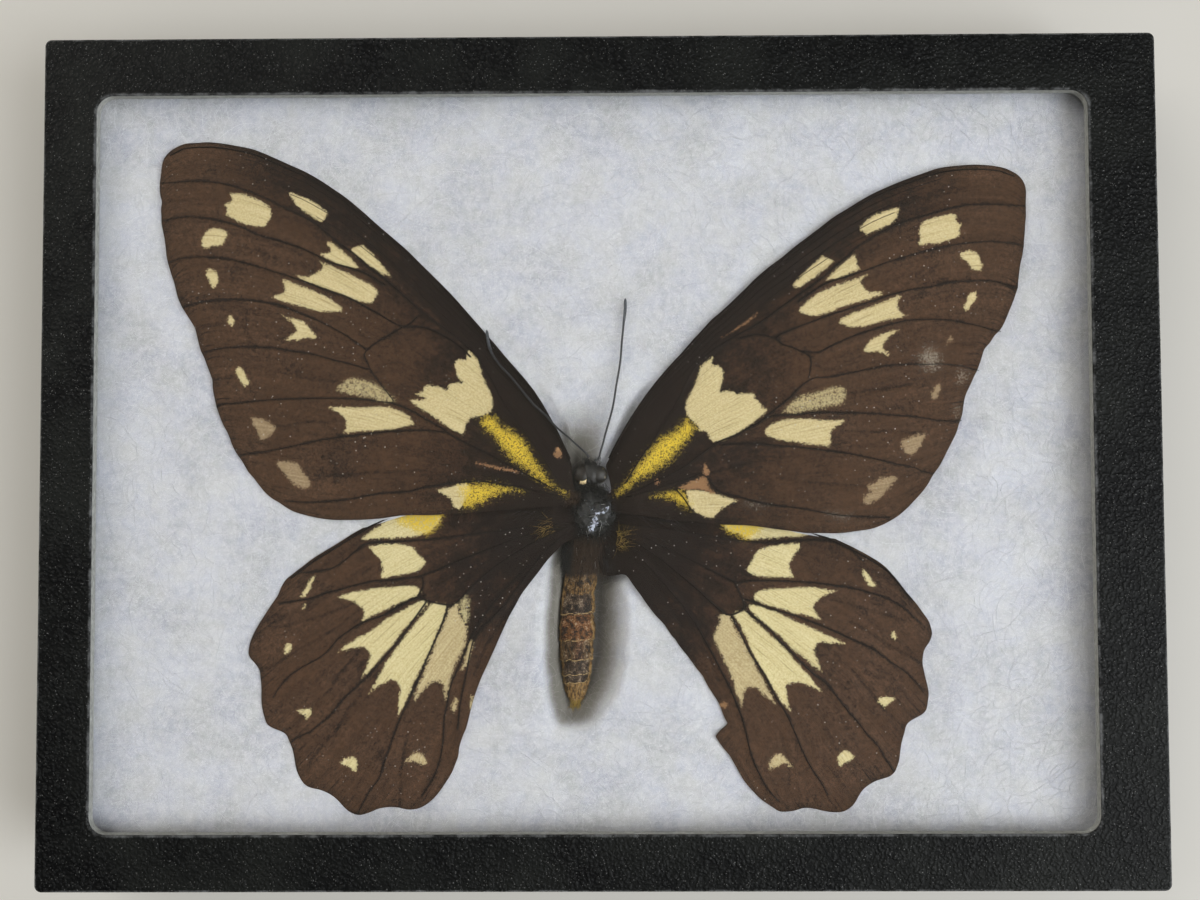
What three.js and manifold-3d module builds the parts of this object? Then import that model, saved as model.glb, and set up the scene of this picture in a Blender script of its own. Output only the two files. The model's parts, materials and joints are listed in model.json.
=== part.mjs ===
// A framed butterfly: a shallow card case with a glazed lid, filled with white wadding on which
// one large spread butterfly lies, held flat by the glass. Its body sinks into a hollow in the wadding.
// Millimetres, +Z out through the glass, +X to the right, +Y towards the head.
// The origin is the centre of the case's underside.

import * as THREE from 'three';
import { mergeVertices } from 'three/addons/utils/BufferGeometryUtils.js';
import Module from 'manifold-3d';

const wasm = await Module();
wasm.setup();

// Driving dimensions of the case
const CASE = { width: 210, depth: 160, height: 19, corner: 1.4, edgeRound: 0.8 };
const BORDER = { left: 10.2, right: 13.0, top: 11.1, bottom: 10.7 };
const WINDOW_CORNER = 3.2;
const BOARD = 1.5;
const LID_LIFT = 0.6;
const GLASS_THICKNESS = 1.6;
const GAP = 0.3;

// Heights above the table, worked out from the board, the glass and the gaps between pieces
const LID_UNDERSIDE = CASE.height - BOARD;
const GLASS_TOP = LID_UNDERSIDE - 0.2;
const GLASS_BOTTOM = GLASS_TOP - GLASS_THICKNESS;
const TRAY_RIM = GLASS_BOTTOM - GAP;
const FOREWING_TOP = GLASS_BOTTOM - 0.9;
const HINDWING_TOP = FOREWING_TOP - 0.6;
const WING_THICKNESS = 0.3;
const WADDING_TOP = HINDWING_TOP - WING_THICKNESS - GAP;
const WADDING_BOTTOM = BOARD + GAP;

// The lid slides over the tray with a gap of GAP all round
const TRAY = {
  width: CASE.width - 2 * (BOARD + GAP),
  depth: CASE.depth - 2 * (BOARD + GAP),
  wall: 1.4,
};

// Veins stand out of a wing as low ridges
const VEIN = { radius: 0.17, sink: 0.07 };

// The body: half sizes and centres of its rounded parts
const THORAX = { centre: [-1.0, -10.7, 11.2], half: [4.2, 5.1, 4.0] };
const HEAD = { centre: [-1.75, -2.9, 12.2], half: [1.7, 2.2, 1.9] };
const EYES = [
  { centre: [-3.3, -3.1, 12.3], radius: 1.85 },
  { centre: [-0.2, -3.0, 12.2], radius: 1.75 },
];
const PALPS = [
  { centre: [-2.3, -0.9, 12.0], half: [0.55, 1.2, 0.6] },
  { centre: [-1.1, -0.9, 12.0], half: [0.55, 1.2, 0.6] },
];
const ABDOMEN = { front: -16.1, centreZ: 10.9, flatness: 0.86 };
const HOLLOW = { centre: [-2.4, -21, WADDING_TOP + 0.9], half: [8.2, 34.5, 10.2] };

// Distance from the abdomen's front end, and its half width there: seven rings with creases between
const ABDOMEN_PROFILE = [
  [0, 0], [0.1, 1.6], [1.2, 2.6], [3.4, 2.8], [4.2, 2.7], [6.6, 3.2], [8.9, 3.45], [9.4, 3.3],
  [11.2, 3.6], [13.6, 3.65], [14.0, 3.5], [16.2, 3.75], [18.7, 3.7], [19.2, 3.55], [21.2, 3.6],
  [22.8, 3.45], [23.2, 3.3], [25.6, 3.15], [26.0, 2.95], [27.2, 2.75], [27.6, 2.55], [29.6, 1.85],
  [31.4, 0.9], [32.5, 0],
];
// Sideways position of the abdomen's middle line, as [y, x]
const ABDOMEN_LINE = [[-16.1, -2.3], [-21, -3.4], [-26, -4.2], [-31, -4.5], [-38, -4.6], [-48.6, -4.8]];

const FOREWING_LEFT = [
  [-5.3, -1.7], [-5.7, -0.1], [-6.6, 1.8], [-8, 5], [-9.2, 7.3], [-10.7, 10.1], [-12.9, 13.6], [-15, 16.2],
  [-18.1, 19.8], [-22.4, 24.9], [-27.7, 31], [-31.7, 35.1], [-36.8, 40.2], [-42, 44.7], [-48.4, 50.3],
  [-53.8, 54], [-59.9, 57.1], [-64.8, 59.3], [-70, 60.7], [-75, 61.4], [-78.4, 61.3], [-80.4, 60.9],
  [-82.2, 60], [-83.6, 58.6], [-84.25, 56.5], [-84.5, 53.8], [-84.5, 51.7], [-84.25, 49.5], [-84.2, 47.2],
  [-83.9, 44.3], [-83.3, 40.9], [-82.7, 37.6], [-81.6, 34.1], [-80.3, 29.9], [-79.1, 27.9], [-77.4, 24.6],
  [-76.5, 21.3], [-75, 17.7], [-74.1, 14.5], [-73.2, 10.1], [-71, 5], [-68.4, 0], [-66, -3.5], [-63.7, -6.35],
  [-61.2, -8.1], [-58.5, -9.8], [-55, -10.8], [-50.8, -11.45], [-45.6, -11.45], [-39.5, -10.9],
  [-32.7, -10.65], [-25, -10.2], [-15, -9.4], [-6.5, -8.9], [-1.6, -8.7], [-1.6, -7.2], [-4.2, -6.4],
  [-5, -5], [-5.3, -3.2],
];
const FOREWING_RIGHT = [
  [1.2, -1.45], [1.8, -0.1], [3.8, 3.9], [6.6, 8.7], [10, 13.6], [13.7, 18], [17.8, 22.5], [21.4, 26.4],
  [26.3, 30.8], [30, 34.4], [35, 38.35], [40, 42.3], [45, 46.1], [50, 49.15], [55, 51.7], [60, 53.7],
  [65, 55.4], [70, 56], [74.1, 56], [77.9, 55.4], [79.6, 54.6], [80.7, 53.8], [81.5, 52.7], [81.9, 51.3],
  [81.85, 48], [81.7, 44.7], [81.35, 40.9], [80.6, 36.8], [79.9, 32.4], [79.15, 29.8], [77.4, 25.7],
  [76.5, 24.3], [75.4, 23.2], [73.5, 20.6], [72.3, 17.2], [70.6, 13.6], [69.4, 10.1], [68.5, 6.5],
  [67.1, 2.9], [65.3, -0.6], [63.5, -3.2], [61.5, -6.35], [58.45, -9.6], [55, -12.1], [51.3, -13.6],
  [46.9, -14.2], [42, -14.3], [36.5, -13.9], [30, -13], [24, -12.6], [15, -11.8], [6, -10.6], [0, -9.8],
  [0, -7.4], [2.1, -6.5], [1.8, -3.6],
];
const HINDWING_LEFT = [
  [-2, -9.6], [-8, -7.6], [-15, -6.3], [-23, -6.2], [-31, -7.4], [-37, -9.2], [-42.1, -11.3], [-47.5, -14.3],
  [-52.5, -17.4], [-57, -20.5], [-60, -22.9], [-60.8, -24.2], [-62.2, -26.9], [-64.3, -30.1], [-66.1, -33.2],
  [-66.8, -35.1], [-66.9, -36.9], [-66.3, -38], [-65.3, -39.1], [-64.7, -41], [-64.4, -45.5], [-64.2, -47.2],
  [-63.2, -50.2], [-60.8, -51.4], [-59.5, -52.3], [-58.5, -54.7], [-57.8, -58.7], [-56.2, -61.4],
  [-54.2, -62.3], [-51.6, -63.2], [-50, -64.3], [-48.6, -65.8], [-47, -66.9], [-45.2, -67.2], [-42.9, -66.4],
  [-39.9, -65.75], [-36.8, -66.2], [-34.6, -66], [-32.4, -64.85], [-29.7, -61.7], [-27.5, -57.6],
  [-26.8, -54.6], [-25.5, -51], [-23.9, -45], [-21.4, -38.9], [-19, -34.1], [-15, -25.6], [-11.9, -21.7],
  [-10.1, -19.4], [-8.4, -17.6], [-6.4, -15.8], [-2, -14.4],
];
const HINDWING_RIGHT = [
  [0, -10.4], [6, -8.9], [13, -8.4], [21, -8.9], [29, -10.3], [36, -12.3], [42, -14.2], [47.5, -16.7],
  [52.4, -19.4], [55.4, -22], [57.6, -25], [61.2, -29.4], [62.6, -31.8], [62.95, -33.5], [62.4, -34.9],
  [61.4, -36.5], [61.1, -38.8], [61.6, -41.9], [62.1, -45], [61.6, -47.7], [60.3, -48.9], [58.4, -49.9],
  [57.6, -51.3], [56.9, -53.7], [56.4, -57], [55.4, -59.4], [53.7, -60.5], [51.6, -61.2], [50, -62.2],
  [48.6, -64], [47.2, -65.9], [45, -66.85], [42, -66.6], [39.5, -66.1], [36.7, -66.5], [34.2, -66.8],
  [32, -65.7], [28.5, -62.65], [26, -59.2], [23, -54.3], [21.8, -52.75], [23, -51.1], [23.9, -50.1],
  [23, -48], [20.3, -43], [17.8, -39.2], [14.2, -34.5], [9, -27.9], [5.2, -22.6], [4, -22.1], [0.6, -22.2],
  [-0.6, -17],
];

// Middle lines of the stout veins, from the wing's margin to its base
const FOREWING_LEFT_VEINS = [
  [[-82.6, 56], [-70, 57.8], [-60, 54.2], [-48, 47.2], [-36, 37], [-24, 24.4], [-14, 12], [-6.8, -2]],
  [[-83.6, 46], [-75.8, 46.6], [-65.1, 43.2], [-54.4, 39.4], [-41, 33.5], [-28, 25.5], [-16, 11.6], [-8, -1]],
  [[-82, 38], [-76, 39.1], [-64.8, 37], [-54.9, 33.6], [-46, 30], [-37, 24.8]],
  [[-79.2, 29.3], [-72.5, 30.8], [-64.8, 30.4], [-54.9, 27.2], [-48.4, 23.8], [-44, 20.2]],
  [[-76, 20.8], [-68.6, 21.7], [-59.3, 21], [-51.1, 19.2], [-43.5, 16.4]],
  [[-72.6, 10.6], [-63.4, 11.5], [-50, 11.8], [-41, 11]],
  [[-69, 1], [-59.3, 2.5], [-50, 4.3], [-41, 5.3], [-31.5, 6.2]],
  [[-61, -7.6], [-55, -8.1], [-47, -7.4], [-36.5, -6.1], [-25.5, -4.3], [-14, -4.6], [-5, -7.6]],
  [[-37, 24.8], [-44, 20.2], [-43.4, 16.6], [-41, 11], [-33, 7.6], [-25, 2.9], [-15, -2.2], [-5, -7.2]],
];
const FOREWING_RIGHT_VEINS = [
  [[80.6, 49.5], [70, 52.6], [60, 50], [48, 43.4], [36, 34.8], [24, 24.2], [13, 11.4], [3.4, -3.2]],
  [[81, 40.5], [72.2, 41.1], [62.6, 39.5], [52.4, 36.3], [42.8, 33], [30, 25.6], [17, 11.6], [4.2, -3.6]],
  [[79.4, 32.4], [71, 33.7], [60, 32.1], [50, 29.2], [42, 26.5], [35, 22]],
  [[76, 24], [68.9, 25.8], [60, 26.2], [50, 23.8], [42, 20.2], [38.4, 20.4]],
  [[71.9, 16.5], [64.8, 17.8], [55, 17.5], [45, 15.6], [39.9, 15.2]],
  [[68.6, 6.9], [58.5, 7.9], [47.5, 8.5], [37.6, 8.3], [31.5, 7.6]],
  [[63.6, -3], [57.4, -1.5], [47.5, 0.8], [37.6, 2.1], [27.4, 2.9], [21, 2.2]],
  [[56, -11.2], [47.5, -11.1], [37.6, -9.5], [27.4, -7.6], [16.5, -5.9], [3, -8.2]],
  [[35, 22], [38.4, 20.4], [40.3, 18], [39.9, 15.2], [34.5, 10], [27.4, 5.1], [19.7, 1], [3, -7.8]],
];
const HINDWING_LEFT_VEINS = [
  [[-58.5, -22.6], [-50, -17.2], [-41, -15.4], [-30, -15], [-18, -13.6], [-6, -12.6]],
  [[-60.8, -27.3], [-52.5, -25.4], [-44.2, -23.3], [-33.8, -22.1], [-26, -18.4], [-15, -15.2], [-6, -13]],
  [[-64, -39.9], [-57.7, -36.2], [-47, -32], [-40.4, -29], [-33.2, -25.8], [-30, -21]],
  [[-58.4, -53.4], [-53, -49.9], [-48.1, -44.7], [-42.6, -39.4], [-38, -34], [-33, -27]],
  [[-45.8, -66.4], [-41.8, -60], [-39, -51.5], [-35.4, -43.3], [-31.4, -34.5], [-29.1, -28]],
  [[-33.6, -64.6], [-30.2, -55.7], [-29.1, -46.3], [-26.6, -38.9], [-24.2, -32], [-15, -20.6], [-6, -14]],
  [[-30, -21], [-33, -26.4], [-29.1, -28], [-25.2, -27]],
];
const HINDWING_RIGHT_VEINS = [
  [[55, -22.8], [48, -18], [40, -15.6], [31.5, -16.1], [20, -14.8], [4, -13]],
  [[61, -32], [57.4, -28.4], [50, -25.3], [40, -23.6], [27.4, -23.3], [18, -18.6], [4, -13.6]],
  [[61, -44.2], [57.4, -40.3], [50, -35.4], [40, -31], [31.5, -28.3], [27.4, -26.8]],
  [[55.2, -58.6], [50.2, -52.1], [45, -45.5], [38.9, -39.5], [33.3, -34], [27.4, -28.8]],
  [[43, -65.8], [38.4, -55.9], [33.7, -46], [29.9, -39.2], [27, -34], [24.8, -29.8]],
  [[34, -65.4], [29.9, -59.5], [27.7, -52.9], [24.7, -43.9], [20.8, -36.2], [16, -28], [4, -15]],
  [[25.5, -23.5], [27.2, -26.8], [27.4, -28.8], [24.8, -29.8], [22.6, -29.2]],
];

// Antennae: a thin shaft rising from the head to just under the glass, thicker towards the tip
const ANTENNA = { radius: 0.17, clubRadius: 0.27, clubLength: 5.4, lying: 15.25 };
const ANTENNA_LEFT = [
  [-2.3, -0.3, 13.9], [-2.7, 1.2, 14.3], [-4.05, 2.4, 14.8], [-6.04, 4.2, 15.2], [-8.9, 6.8, ANTENNA.lying],
  [-12.4, 10.5, ANTENNA.lying], [-17, 15.9, ANTENNA.lying], [-20.3, 19.7, ANTENNA.lying],
  [-21.45, 24.6, ANTENNA.lying],
];
const ANTENNA_RIGHT = [
  [-0.9, -0.4, 13.9], [-0.2, 0.8, 14.2], [1.1, 4.6, 14.9], [2.5, 9.5, ANTENNA.lying],
  [3.3, 14.2, ANTENNA.lying], [4.3, 21.6, ANTENNA.lying], [4.9, 27, ANTENNA.lying],
  [5.05, 30.6, ANTENNA.lying],
];

// Six legs folded under the thorax: the side, and how far along it the leg starts
const LEGS = [
  { side: -1, along: 2.6, back: 2.2 }, { side: 1, along: 2.6, back: 2.2 },
  { side: -1, along: 0.2, back: -3.2 }, { side: 1, along: 0.2, back: -3.2 },
  { side: -1, along: -2.2, back: -5.6 }, { side: 1, along: -2.2, back: -5.6 },
];
const LEG_RADIUS = 0.36;

/** A closed geometry as a manifold solid. */
function toSolid(geometry) {
  const bare = geometry.clone();
  bare.deleteAttribute('normal');
  bare.deleteAttribute('uv');
  const merged = mergeVertices(bare, 1e-4);
  return new wasm.Manifold(new wasm.Mesh({
    numProp: 3,
    vertProperties: new Float32Array(merged.attributes.position.array),
    triVerts: new Uint32Array(merged.index.array),
  }));
}

/** A manifold solid as a geometry. */
function toGeometry(solid) {
  const mesh = solid.getMesh();
  const geometry = new THREE.BufferGeometry();
  geometry.setAttribute('position', new THREE.BufferAttribute(new Float32Array(mesh.vertProperties), 3));
  geometry.setIndex(new THREE.BufferAttribute(new Uint32Array(mesh.triVerts), 1));
  geometry.computeVertexNormals();
  return geometry;
}

/** A rectangle with round corners, given by its four sides. */
function roundedRectangle(left, right, bottom, top, radius) {
  const shape = new THREE.Shape();
  shape.moveTo(left + radius, bottom);
  shape.lineTo(right - radius, bottom);
  shape.absarc(right - radius, bottom + radius, radius, -Math.PI / 2, 0);
  shape.lineTo(right, top - radius);
  shape.absarc(right - radius, top - radius, radius, 0, Math.PI / 2);
  shape.lineTo(left + radius, top);
  shape.absarc(left + radius, top - radius, radius, Math.PI / 2, Math.PI);
  shape.lineTo(left, bottom + radius);
  shape.absarc(left + radius, bottom + radius, radius, Math.PI, 1.5 * Math.PI);
  return shape;
}

/** A centred rounded block from height low to height high; its upper and lower edges are rounded by edge. */
function roundedBlock(width, depth, low, high, corner, edge) {
  const shape = roundedRectangle(
    edge - width / 2, width / 2 - edge, edge - depth / 2, depth / 2 - edge, Math.max(corner - edge, 0.3));
  const geometry = new THREE.ExtrudeGeometry(shape, {
    depth: high - low - 2 * edge,
    bevelEnabled: edge > 0,
    bevelSize: edge,
    bevelThickness: edge,
    bevelSegments: 3,
    curveSegments: 4,
  });
  geometry.translate(0, 0, low + edge);
  return geometry;
}

/** A box between two opposite corners. */
function block(low, high) {
  const geometry = new THREE.BoxGeometry(high[0] - low[0], high[1] - low[1], high[2] - low[2]);
  geometry.translate((low[0] + high[0]) / 2, (low[1] + high[1]) / 2, (low[2] + high[2]) / 2);
  return geometry;
}

/** An ellipsoid from its centre and half sizes, grown by extra. */
function ellipsoid(centre, half, extra = 0, detail = 14) {
  const geometry = new THREE.SphereGeometry(1, detail, Math.round(detail / 2));
  geometry.scale(half[0] + extra, half[1] + extra, half[2] + extra);
  geometry.translate(centre[0], centre[1], centre[2]);
  return geometry;
}

/** A tube of sides sides along a smooth curve through the points. */
function tube(points, radius, sides, steps) {
  const section = new THREE.Shape(
    Array.from({ length: sides }, (_, k) => {
      const angle = (2 * Math.PI * k) / sides;
      return new THREE.Vector2(radius * Math.cos(angle), radius * Math.sin(angle));
    }));
  const path = new THREE.CatmullRomCurve3(points.map((p) => new THREE.Vector3(...p)), false, 'centripetal');
  return new THREE.ExtrudeGeometry(section, { steps, bevelEnabled: false, extrudePath: path });
}

/** The body's solids grown by the gap, cut out of whatever meets the body. */
function bodyClearance() {
  return toSolid(ellipsoid(THORAX.centre, THORAX.half, GAP))
    .add(toSolid(ellipsoid(HEAD.centre, HEAD.half, GAP)))
    .add(toSolid(abdomenGeometry(GAP)));
}

/** The card lid: a rounded box open below, with the round-cornered window cut through its top. */
function lidGeometry() {
  const outer = toSolid(
    roundedBlock(CASE.width, CASE.depth, LID_LIFT - 2, CASE.height, CASE.corner, CASE.edgeRound));
  const below = toSolid(block([-CASE.width, -CASE.depth, LID_LIFT - 4], [CASE.width, CASE.depth, LID_LIFT]));
  const inside = toSolid(block(
    [BOARD - CASE.width / 2, BOARD - CASE.depth / 2, -4],
    [CASE.width / 2 - BOARD, CASE.depth / 2 - BOARD, LID_UNDERSIDE]));
  const windowShape = roundedRectangle(
    BORDER.left - CASE.width / 2, CASE.width / 2 - BORDER.right,
    BORDER.bottom - CASE.depth / 2, CASE.depth / 2 - BORDER.top, WINDOW_CORNER);
  const windowCut = new THREE.ExtrudeGeometry(windowShape, { depth: 10, bevelEnabled: false, curveSegments: 6 });
  windowCut.translate(0, 0, LID_UNDERSIDE - 4);
  return toGeometry(outer.subtract(below).subtract(inside).subtract(toSolid(windowCut)));
}

/** The card tray that the lid slides over. */
function trayGeometry() {
  const outer = toSolid(roundedBlock(TRAY.width, TRAY.depth, 0, TRAY_RIM, 0.8, 0));
  const inside = toSolid(block(
    [TRAY.wall - TRAY.width / 2, TRAY.wall - TRAY.depth / 2, BOARD],
    [TRAY.width / 2 - TRAY.wall, TRAY.depth / 2 - TRAY.wall, CASE.height]));
  return toGeometry(outer.subtract(inside));
}

/** The sheet of glass that lies on the tray's rim, under the lid. */
function glassGeometry() {
  return block(
    [-TRAY.width / 2, -TRAY.depth / 2, GLASS_BOTTOM],
    [TRAY.width / 2, TRAY.depth / 2, GLASS_TOP]);
}

/** The wadding: a soft-edged slab filling the tray, pressed into a hollow by the body. */
function waddingGeometry() {
  const width = TRAY.width - 2 * (TRAY.wall + GAP);
  const depth = TRAY.depth - 2 * (TRAY.wall + GAP);
  const slab = toSolid(roundedBlock(width, depth, WADDING_BOTTOM, WADDING_TOP, 3, 1.2));
  return toGeometry(slab.subtract(toSolid(ellipsoid(HOLLOW.centre, HOLLOW.half, 0, 22))));
}

/** A wing: a thin plate inside a smooth outline, with its stout veins as low ridges. */
function wingGeometry(outline, veins, top) {
  const curve = new THREE.CatmullRomCurve3(
    outline.map(([x, y]) => new THREE.Vector3(x, y, 0)), true, 'centripetal');
  const shape = new THREE.Shape(
    curve.getPoints(2 * outline.length).slice(0, -1).map((p) => new THREE.Vector2(p.x, p.y)));
  const plate = new THREE.ExtrudeGeometry(shape, { depth: WING_THICKNESS, bevelEnabled: false });
  plate.translate(0, 0, top - WING_THICKNESS);
  let solid = toSolid(plate);
  for (const vein of veins) {
    const line = vein.map(([x, y]) => [x, y, top - VEIN.sink]);
    solid = solid.add(toSolid(tube(line, VEIN.radius, 4, vein.length + 2)));
  }
  return toGeometry(solid.subtract(bodyClearance()));
}

/** The head, with its two round eyes and the pair of mouth feelers in front. */
function headGeometry() {
  let solid = toSolid(ellipsoid(HEAD.centre, HEAD.half));
  for (const eye of EYES) {
    solid = solid.add(toSolid(ellipsoid(eye.centre, [eye.radius, eye.radius, eye.radius])));
  }
  for (const palp of PALPS) {
    solid = solid.add(toSolid(ellipsoid(palp.centre, palp.half, 0, 8)));
  }
  return toGeometry(solid.subtract(toSolid(ellipsoid(THORAX.centre, THORAX.half, GAP))));
}

/** The thorax, with the six thin legs folded back under it. */
function thoraxGeometry() {
  const [cx, cy, cz] = THORAX.centre;
  let solid = toSolid(ellipsoid(THORAX.centre, THORAX.half, 0, 20));
  for (const leg of LEGS) {
    const path = [
      [cx + leg.side * 1.2, cy + leg.along, cz - 2.8],
      [cx + leg.side * 2.6, cy + leg.along + 0.3 * leg.back, cz - 3.9],
      [cx + leg.side * 1.5, cy + leg.along + leg.back, cz - 4.5],
    ];
    solid = solid.add(toSolid(tube(path, LEG_RADIUS, 6, 6)));
  }
  return toGeometry(solid.subtract(toSolid(abdomenGeometry(GAP))));
}

/** The sideways position of the abdomen's middle at y, from the line's points. */
function abdomenMiddle(y) {
  const last = ABDOMEN_LINE.length - 1;
  if (y >= ABDOMEN_LINE[0][0]) return ABDOMEN_LINE[0][1];
  if (y <= ABDOMEN_LINE[last][0]) return ABDOMEN_LINE[last][1];
  const k = ABDOMEN_LINE.findIndex(([lineY]) => lineY < y) - 1;
  const [y0, x0] = ABDOMEN_LINE[k];
  const [y1, x1] = ABDOMEN_LINE[k + 1];
  return x0 + ((x1 - x0) * (y - y0)) / (y1 - y0);
}

/** The ringed abdomen: a turned profile laid along -Y, flattened and bent to its middle line. */
function abdomenGeometry(extra = 0) {
  const last = ABDOMEN_PROFILE.length - 1;
  const profile = ABDOMEN_PROFILE.map(([along, half], k) => {
    const end = k === 0 ? -extra : (k === last ? extra : 0);
    return new THREE.Vector2(half === 0 ? 0 : half + extra, along + end);
  });
  const geometry = new THREE.LatheGeometry(profile, 18);
  geometry.rotateZ(Math.PI);
  geometry.scale(1, 1, ABDOMEN.flatness);
  const position = geometry.attributes.position;
  for (let k = 0; k < position.count; k += 1) {
    const y = ABDOMEN.front + position.getY(k);
    position.setXYZ(k, position.getX(k) + abdomenMiddle(y), y, position.getZ(k) + ABDOMEN.centreZ);
  }
  return geometry;
}

/** An antenna: a thin shaft and a long slender club at its tip, clear of the head. */
function antennaGeometry(points) {
  const tip = new THREE.Vector3(...points[points.length - 1]);
  const before = new THREE.Vector3(...points[points.length - 2]);
  const direction = tip.clone().sub(before).normalize();
  const club = new THREE.SphereGeometry(1, 8, 8);
  club.scale(ANTENNA.clubRadius, ANTENNA.clubLength / 2, ANTENNA.clubRadius);
  club.applyQuaternion(new THREE.Quaternion().setFromUnitVectors(new THREE.Vector3(0, 1, 0), direction));
  const middle = tip.clone().addScaledVector(direction, -ANTENNA.clubLength / 2 + 0.3);
  club.translate(middle.x, middle.y, middle.z);
  let solid = toSolid(tube(points, ANTENNA.radius, 6, 2 * points.length)).add(toSolid(club));
  solid = solid.subtract(toSolid(ellipsoid(HEAD.centre, HEAD.half, GAP)));
  for (const eye of EYES) {
    const grown = eye.radius + GAP;
    solid = solid.subtract(toSolid(ellipsoid(eye.centre, [grown, grown, grown])));
  }
  return toGeometry(solid);
}

const card = new THREE.MeshStandardMaterial({ color: '#15171c', roughness: 0.55, metalness: 0 });
const trayCard = new THREE.MeshStandardMaterial({ color: '#1b1d22', roughness: 0.8, metalness: 0 });
const clearGlass = new THREE.MeshStandardMaterial({
  color: '#eef4f2', roughness: 0.05, metalness: 0, transparent: true, opacity: 0.35,
});
const whiteFibre = new THREE.MeshStandardMaterial({ color: '#dfe1e4', roughness: 1, metalness: 0 });
const wingBrown = new THREE.MeshStandardMaterial({ color: '#4e4238', roughness: 0.85, metalness: 0 });
const hindwingBrown = new THREE.MeshStandardMaterial({ color: '#5a4c40', roughness: 0.85, metalness: 0 });
const bodyBlack = new THREE.MeshStandardMaterial({ color: '#1f1b19', roughness: 0.5, metalness: 0 });
const abdomenBrown = new THREE.MeshStandardMaterial({ color: '#8a6a48', roughness: 0.6, metalness: 0 });
const antennaBlack = new THREE.MeshStandardMaterial({ color: '#17181b', roughness: 0.5, metalness: 0 });

const group = new THREE.Group();

/** Adds one named piece to the group. */
function addPiece(name, geometry, material) {
  const mesh = new THREE.Mesh(geometry, material);
  mesh.name = name;
  group.add(mesh);
}

addPiece('base_tray', trayGeometry(), trayCard);
addPiece('lid', lidGeometry(), card);
addPiece('glass', glassGeometry(), clearGlass);
addPiece('wadding', waddingGeometry(), whiteFibre);
addPiece('forewing_left', wingGeometry(FOREWING_LEFT, FOREWING_LEFT_VEINS, FOREWING_TOP), wingBrown);
addPiece('forewing_right', wingGeometry(FOREWING_RIGHT, FOREWING_RIGHT_VEINS, FOREWING_TOP), wingBrown);
addPiece('hindwing_left', wingGeometry(HINDWING_LEFT, HINDWING_LEFT_VEINS, HINDWING_TOP), hindwingBrown);
addPiece('hindwing_right', wingGeometry(HINDWING_RIGHT, HINDWING_RIGHT_VEINS, HINDWING_TOP), hindwingBrown);
addPiece('head', headGeometry(), bodyBlack);
addPiece('thorax', thoraxGeometry(), bodyBlack);
addPiece('abdomen', toGeometry(toSolid(abdomenGeometry())), abdomenBrown);
addPiece('antenna_left', antennaGeometry(ANTENNA_LEFT), antennaBlack);
addPiece('antenna_right', antennaGeometry(ANTENNA_RIGHT), antennaBlack);

export default group;
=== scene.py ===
# %% [markdown]
# # A framed butterfly specimen
#
# A shallow card case with a glazed lid holds one large butterfly, spread flat on white wadding.
# This notebook dresses the plain CAD model of it. Each step first says what the piece is on the
# real object, how it could be made in Blender, and why it is made the way it is.
#
# Every length is picked in millimetres, in the row frame: X to the right, Y towards the butterfly's
# head and Z out through the glass, with the origin at the centre of the case's underside. The mesh
# helper turns millimetres into metres in one place, so no other cell has to.

# %% Load the CAD frame
import json
import math

import bpy
import numpy as np
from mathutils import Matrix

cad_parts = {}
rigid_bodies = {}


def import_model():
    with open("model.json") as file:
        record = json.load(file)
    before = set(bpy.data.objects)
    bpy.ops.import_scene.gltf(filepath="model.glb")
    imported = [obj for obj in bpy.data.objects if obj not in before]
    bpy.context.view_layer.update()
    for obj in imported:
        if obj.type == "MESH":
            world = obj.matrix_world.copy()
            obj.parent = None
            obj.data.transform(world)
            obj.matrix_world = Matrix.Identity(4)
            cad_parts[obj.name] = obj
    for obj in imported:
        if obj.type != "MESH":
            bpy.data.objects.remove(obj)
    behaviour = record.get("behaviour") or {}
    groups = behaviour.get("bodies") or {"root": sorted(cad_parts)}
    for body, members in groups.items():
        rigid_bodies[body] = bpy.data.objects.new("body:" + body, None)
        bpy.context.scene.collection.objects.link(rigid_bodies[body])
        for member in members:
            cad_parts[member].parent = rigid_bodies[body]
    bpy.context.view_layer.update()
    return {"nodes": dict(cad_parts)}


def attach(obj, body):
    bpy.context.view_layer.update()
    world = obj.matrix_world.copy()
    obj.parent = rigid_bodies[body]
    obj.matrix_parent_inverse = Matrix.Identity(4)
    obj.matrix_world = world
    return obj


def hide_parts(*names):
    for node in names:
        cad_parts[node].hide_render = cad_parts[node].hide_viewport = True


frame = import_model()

MM = 0.001
ROOT = "root"

# %% [markdown]
# ## The camera
#
# The photo was taken by hand from straight above, a little off square. The camera's place and its
# three small tilts were worked out from the case's corners and the window's corners in the photo,
# so the case leans and tapers in the frame as it does there. A 27 mm lens on a 36 mm wide sensor
# gives the photo's field of view. The near clipping distance is short, because the lens is less
# than 20 cm above the glass.

# %% Camera
CAMERA_PLACE = (1.1, -3.1, 186.7)
CAMERA_TILTS = (1.59, 0.34, -0.23)
LENS = 27.0
SENSOR = 36.0

scene = bpy.context.scene
camera_data = bpy.data.cameras.new("camera")
camera_data.sensor_fit = "HORIZONTAL"
camera_data.sensor_width = SENSOR
camera_data.lens = LENS
camera_data.clip_start = 0.01
camera_data.clip_end = 20.0
camera = bpy.data.objects.new("camera", camera_data)
camera.location = [v * MM for v in CAMERA_PLACE]
camera.rotation_euler = [math.radians(v) for v in CAMERA_TILTS]
scene.collection.objects.link(camera)
scene.camera = camera
scene.view_settings.view_transform = "Standard"
print("camera at", [round(v, 4) for v in camera.location])

# %% [markdown]
# ## Meshes from arrays
#
# Every shape below ends as one array of points and a few arrays of faces. One helper writes them
# into a mesh with foreach_set, which hands Blender a whole array at once and is hundreds of times
# quicker than a loop. It also writes named numbers per point, which the materials read as
# attributes. Three small helpers number the faces of grids, strips and fans.

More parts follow.
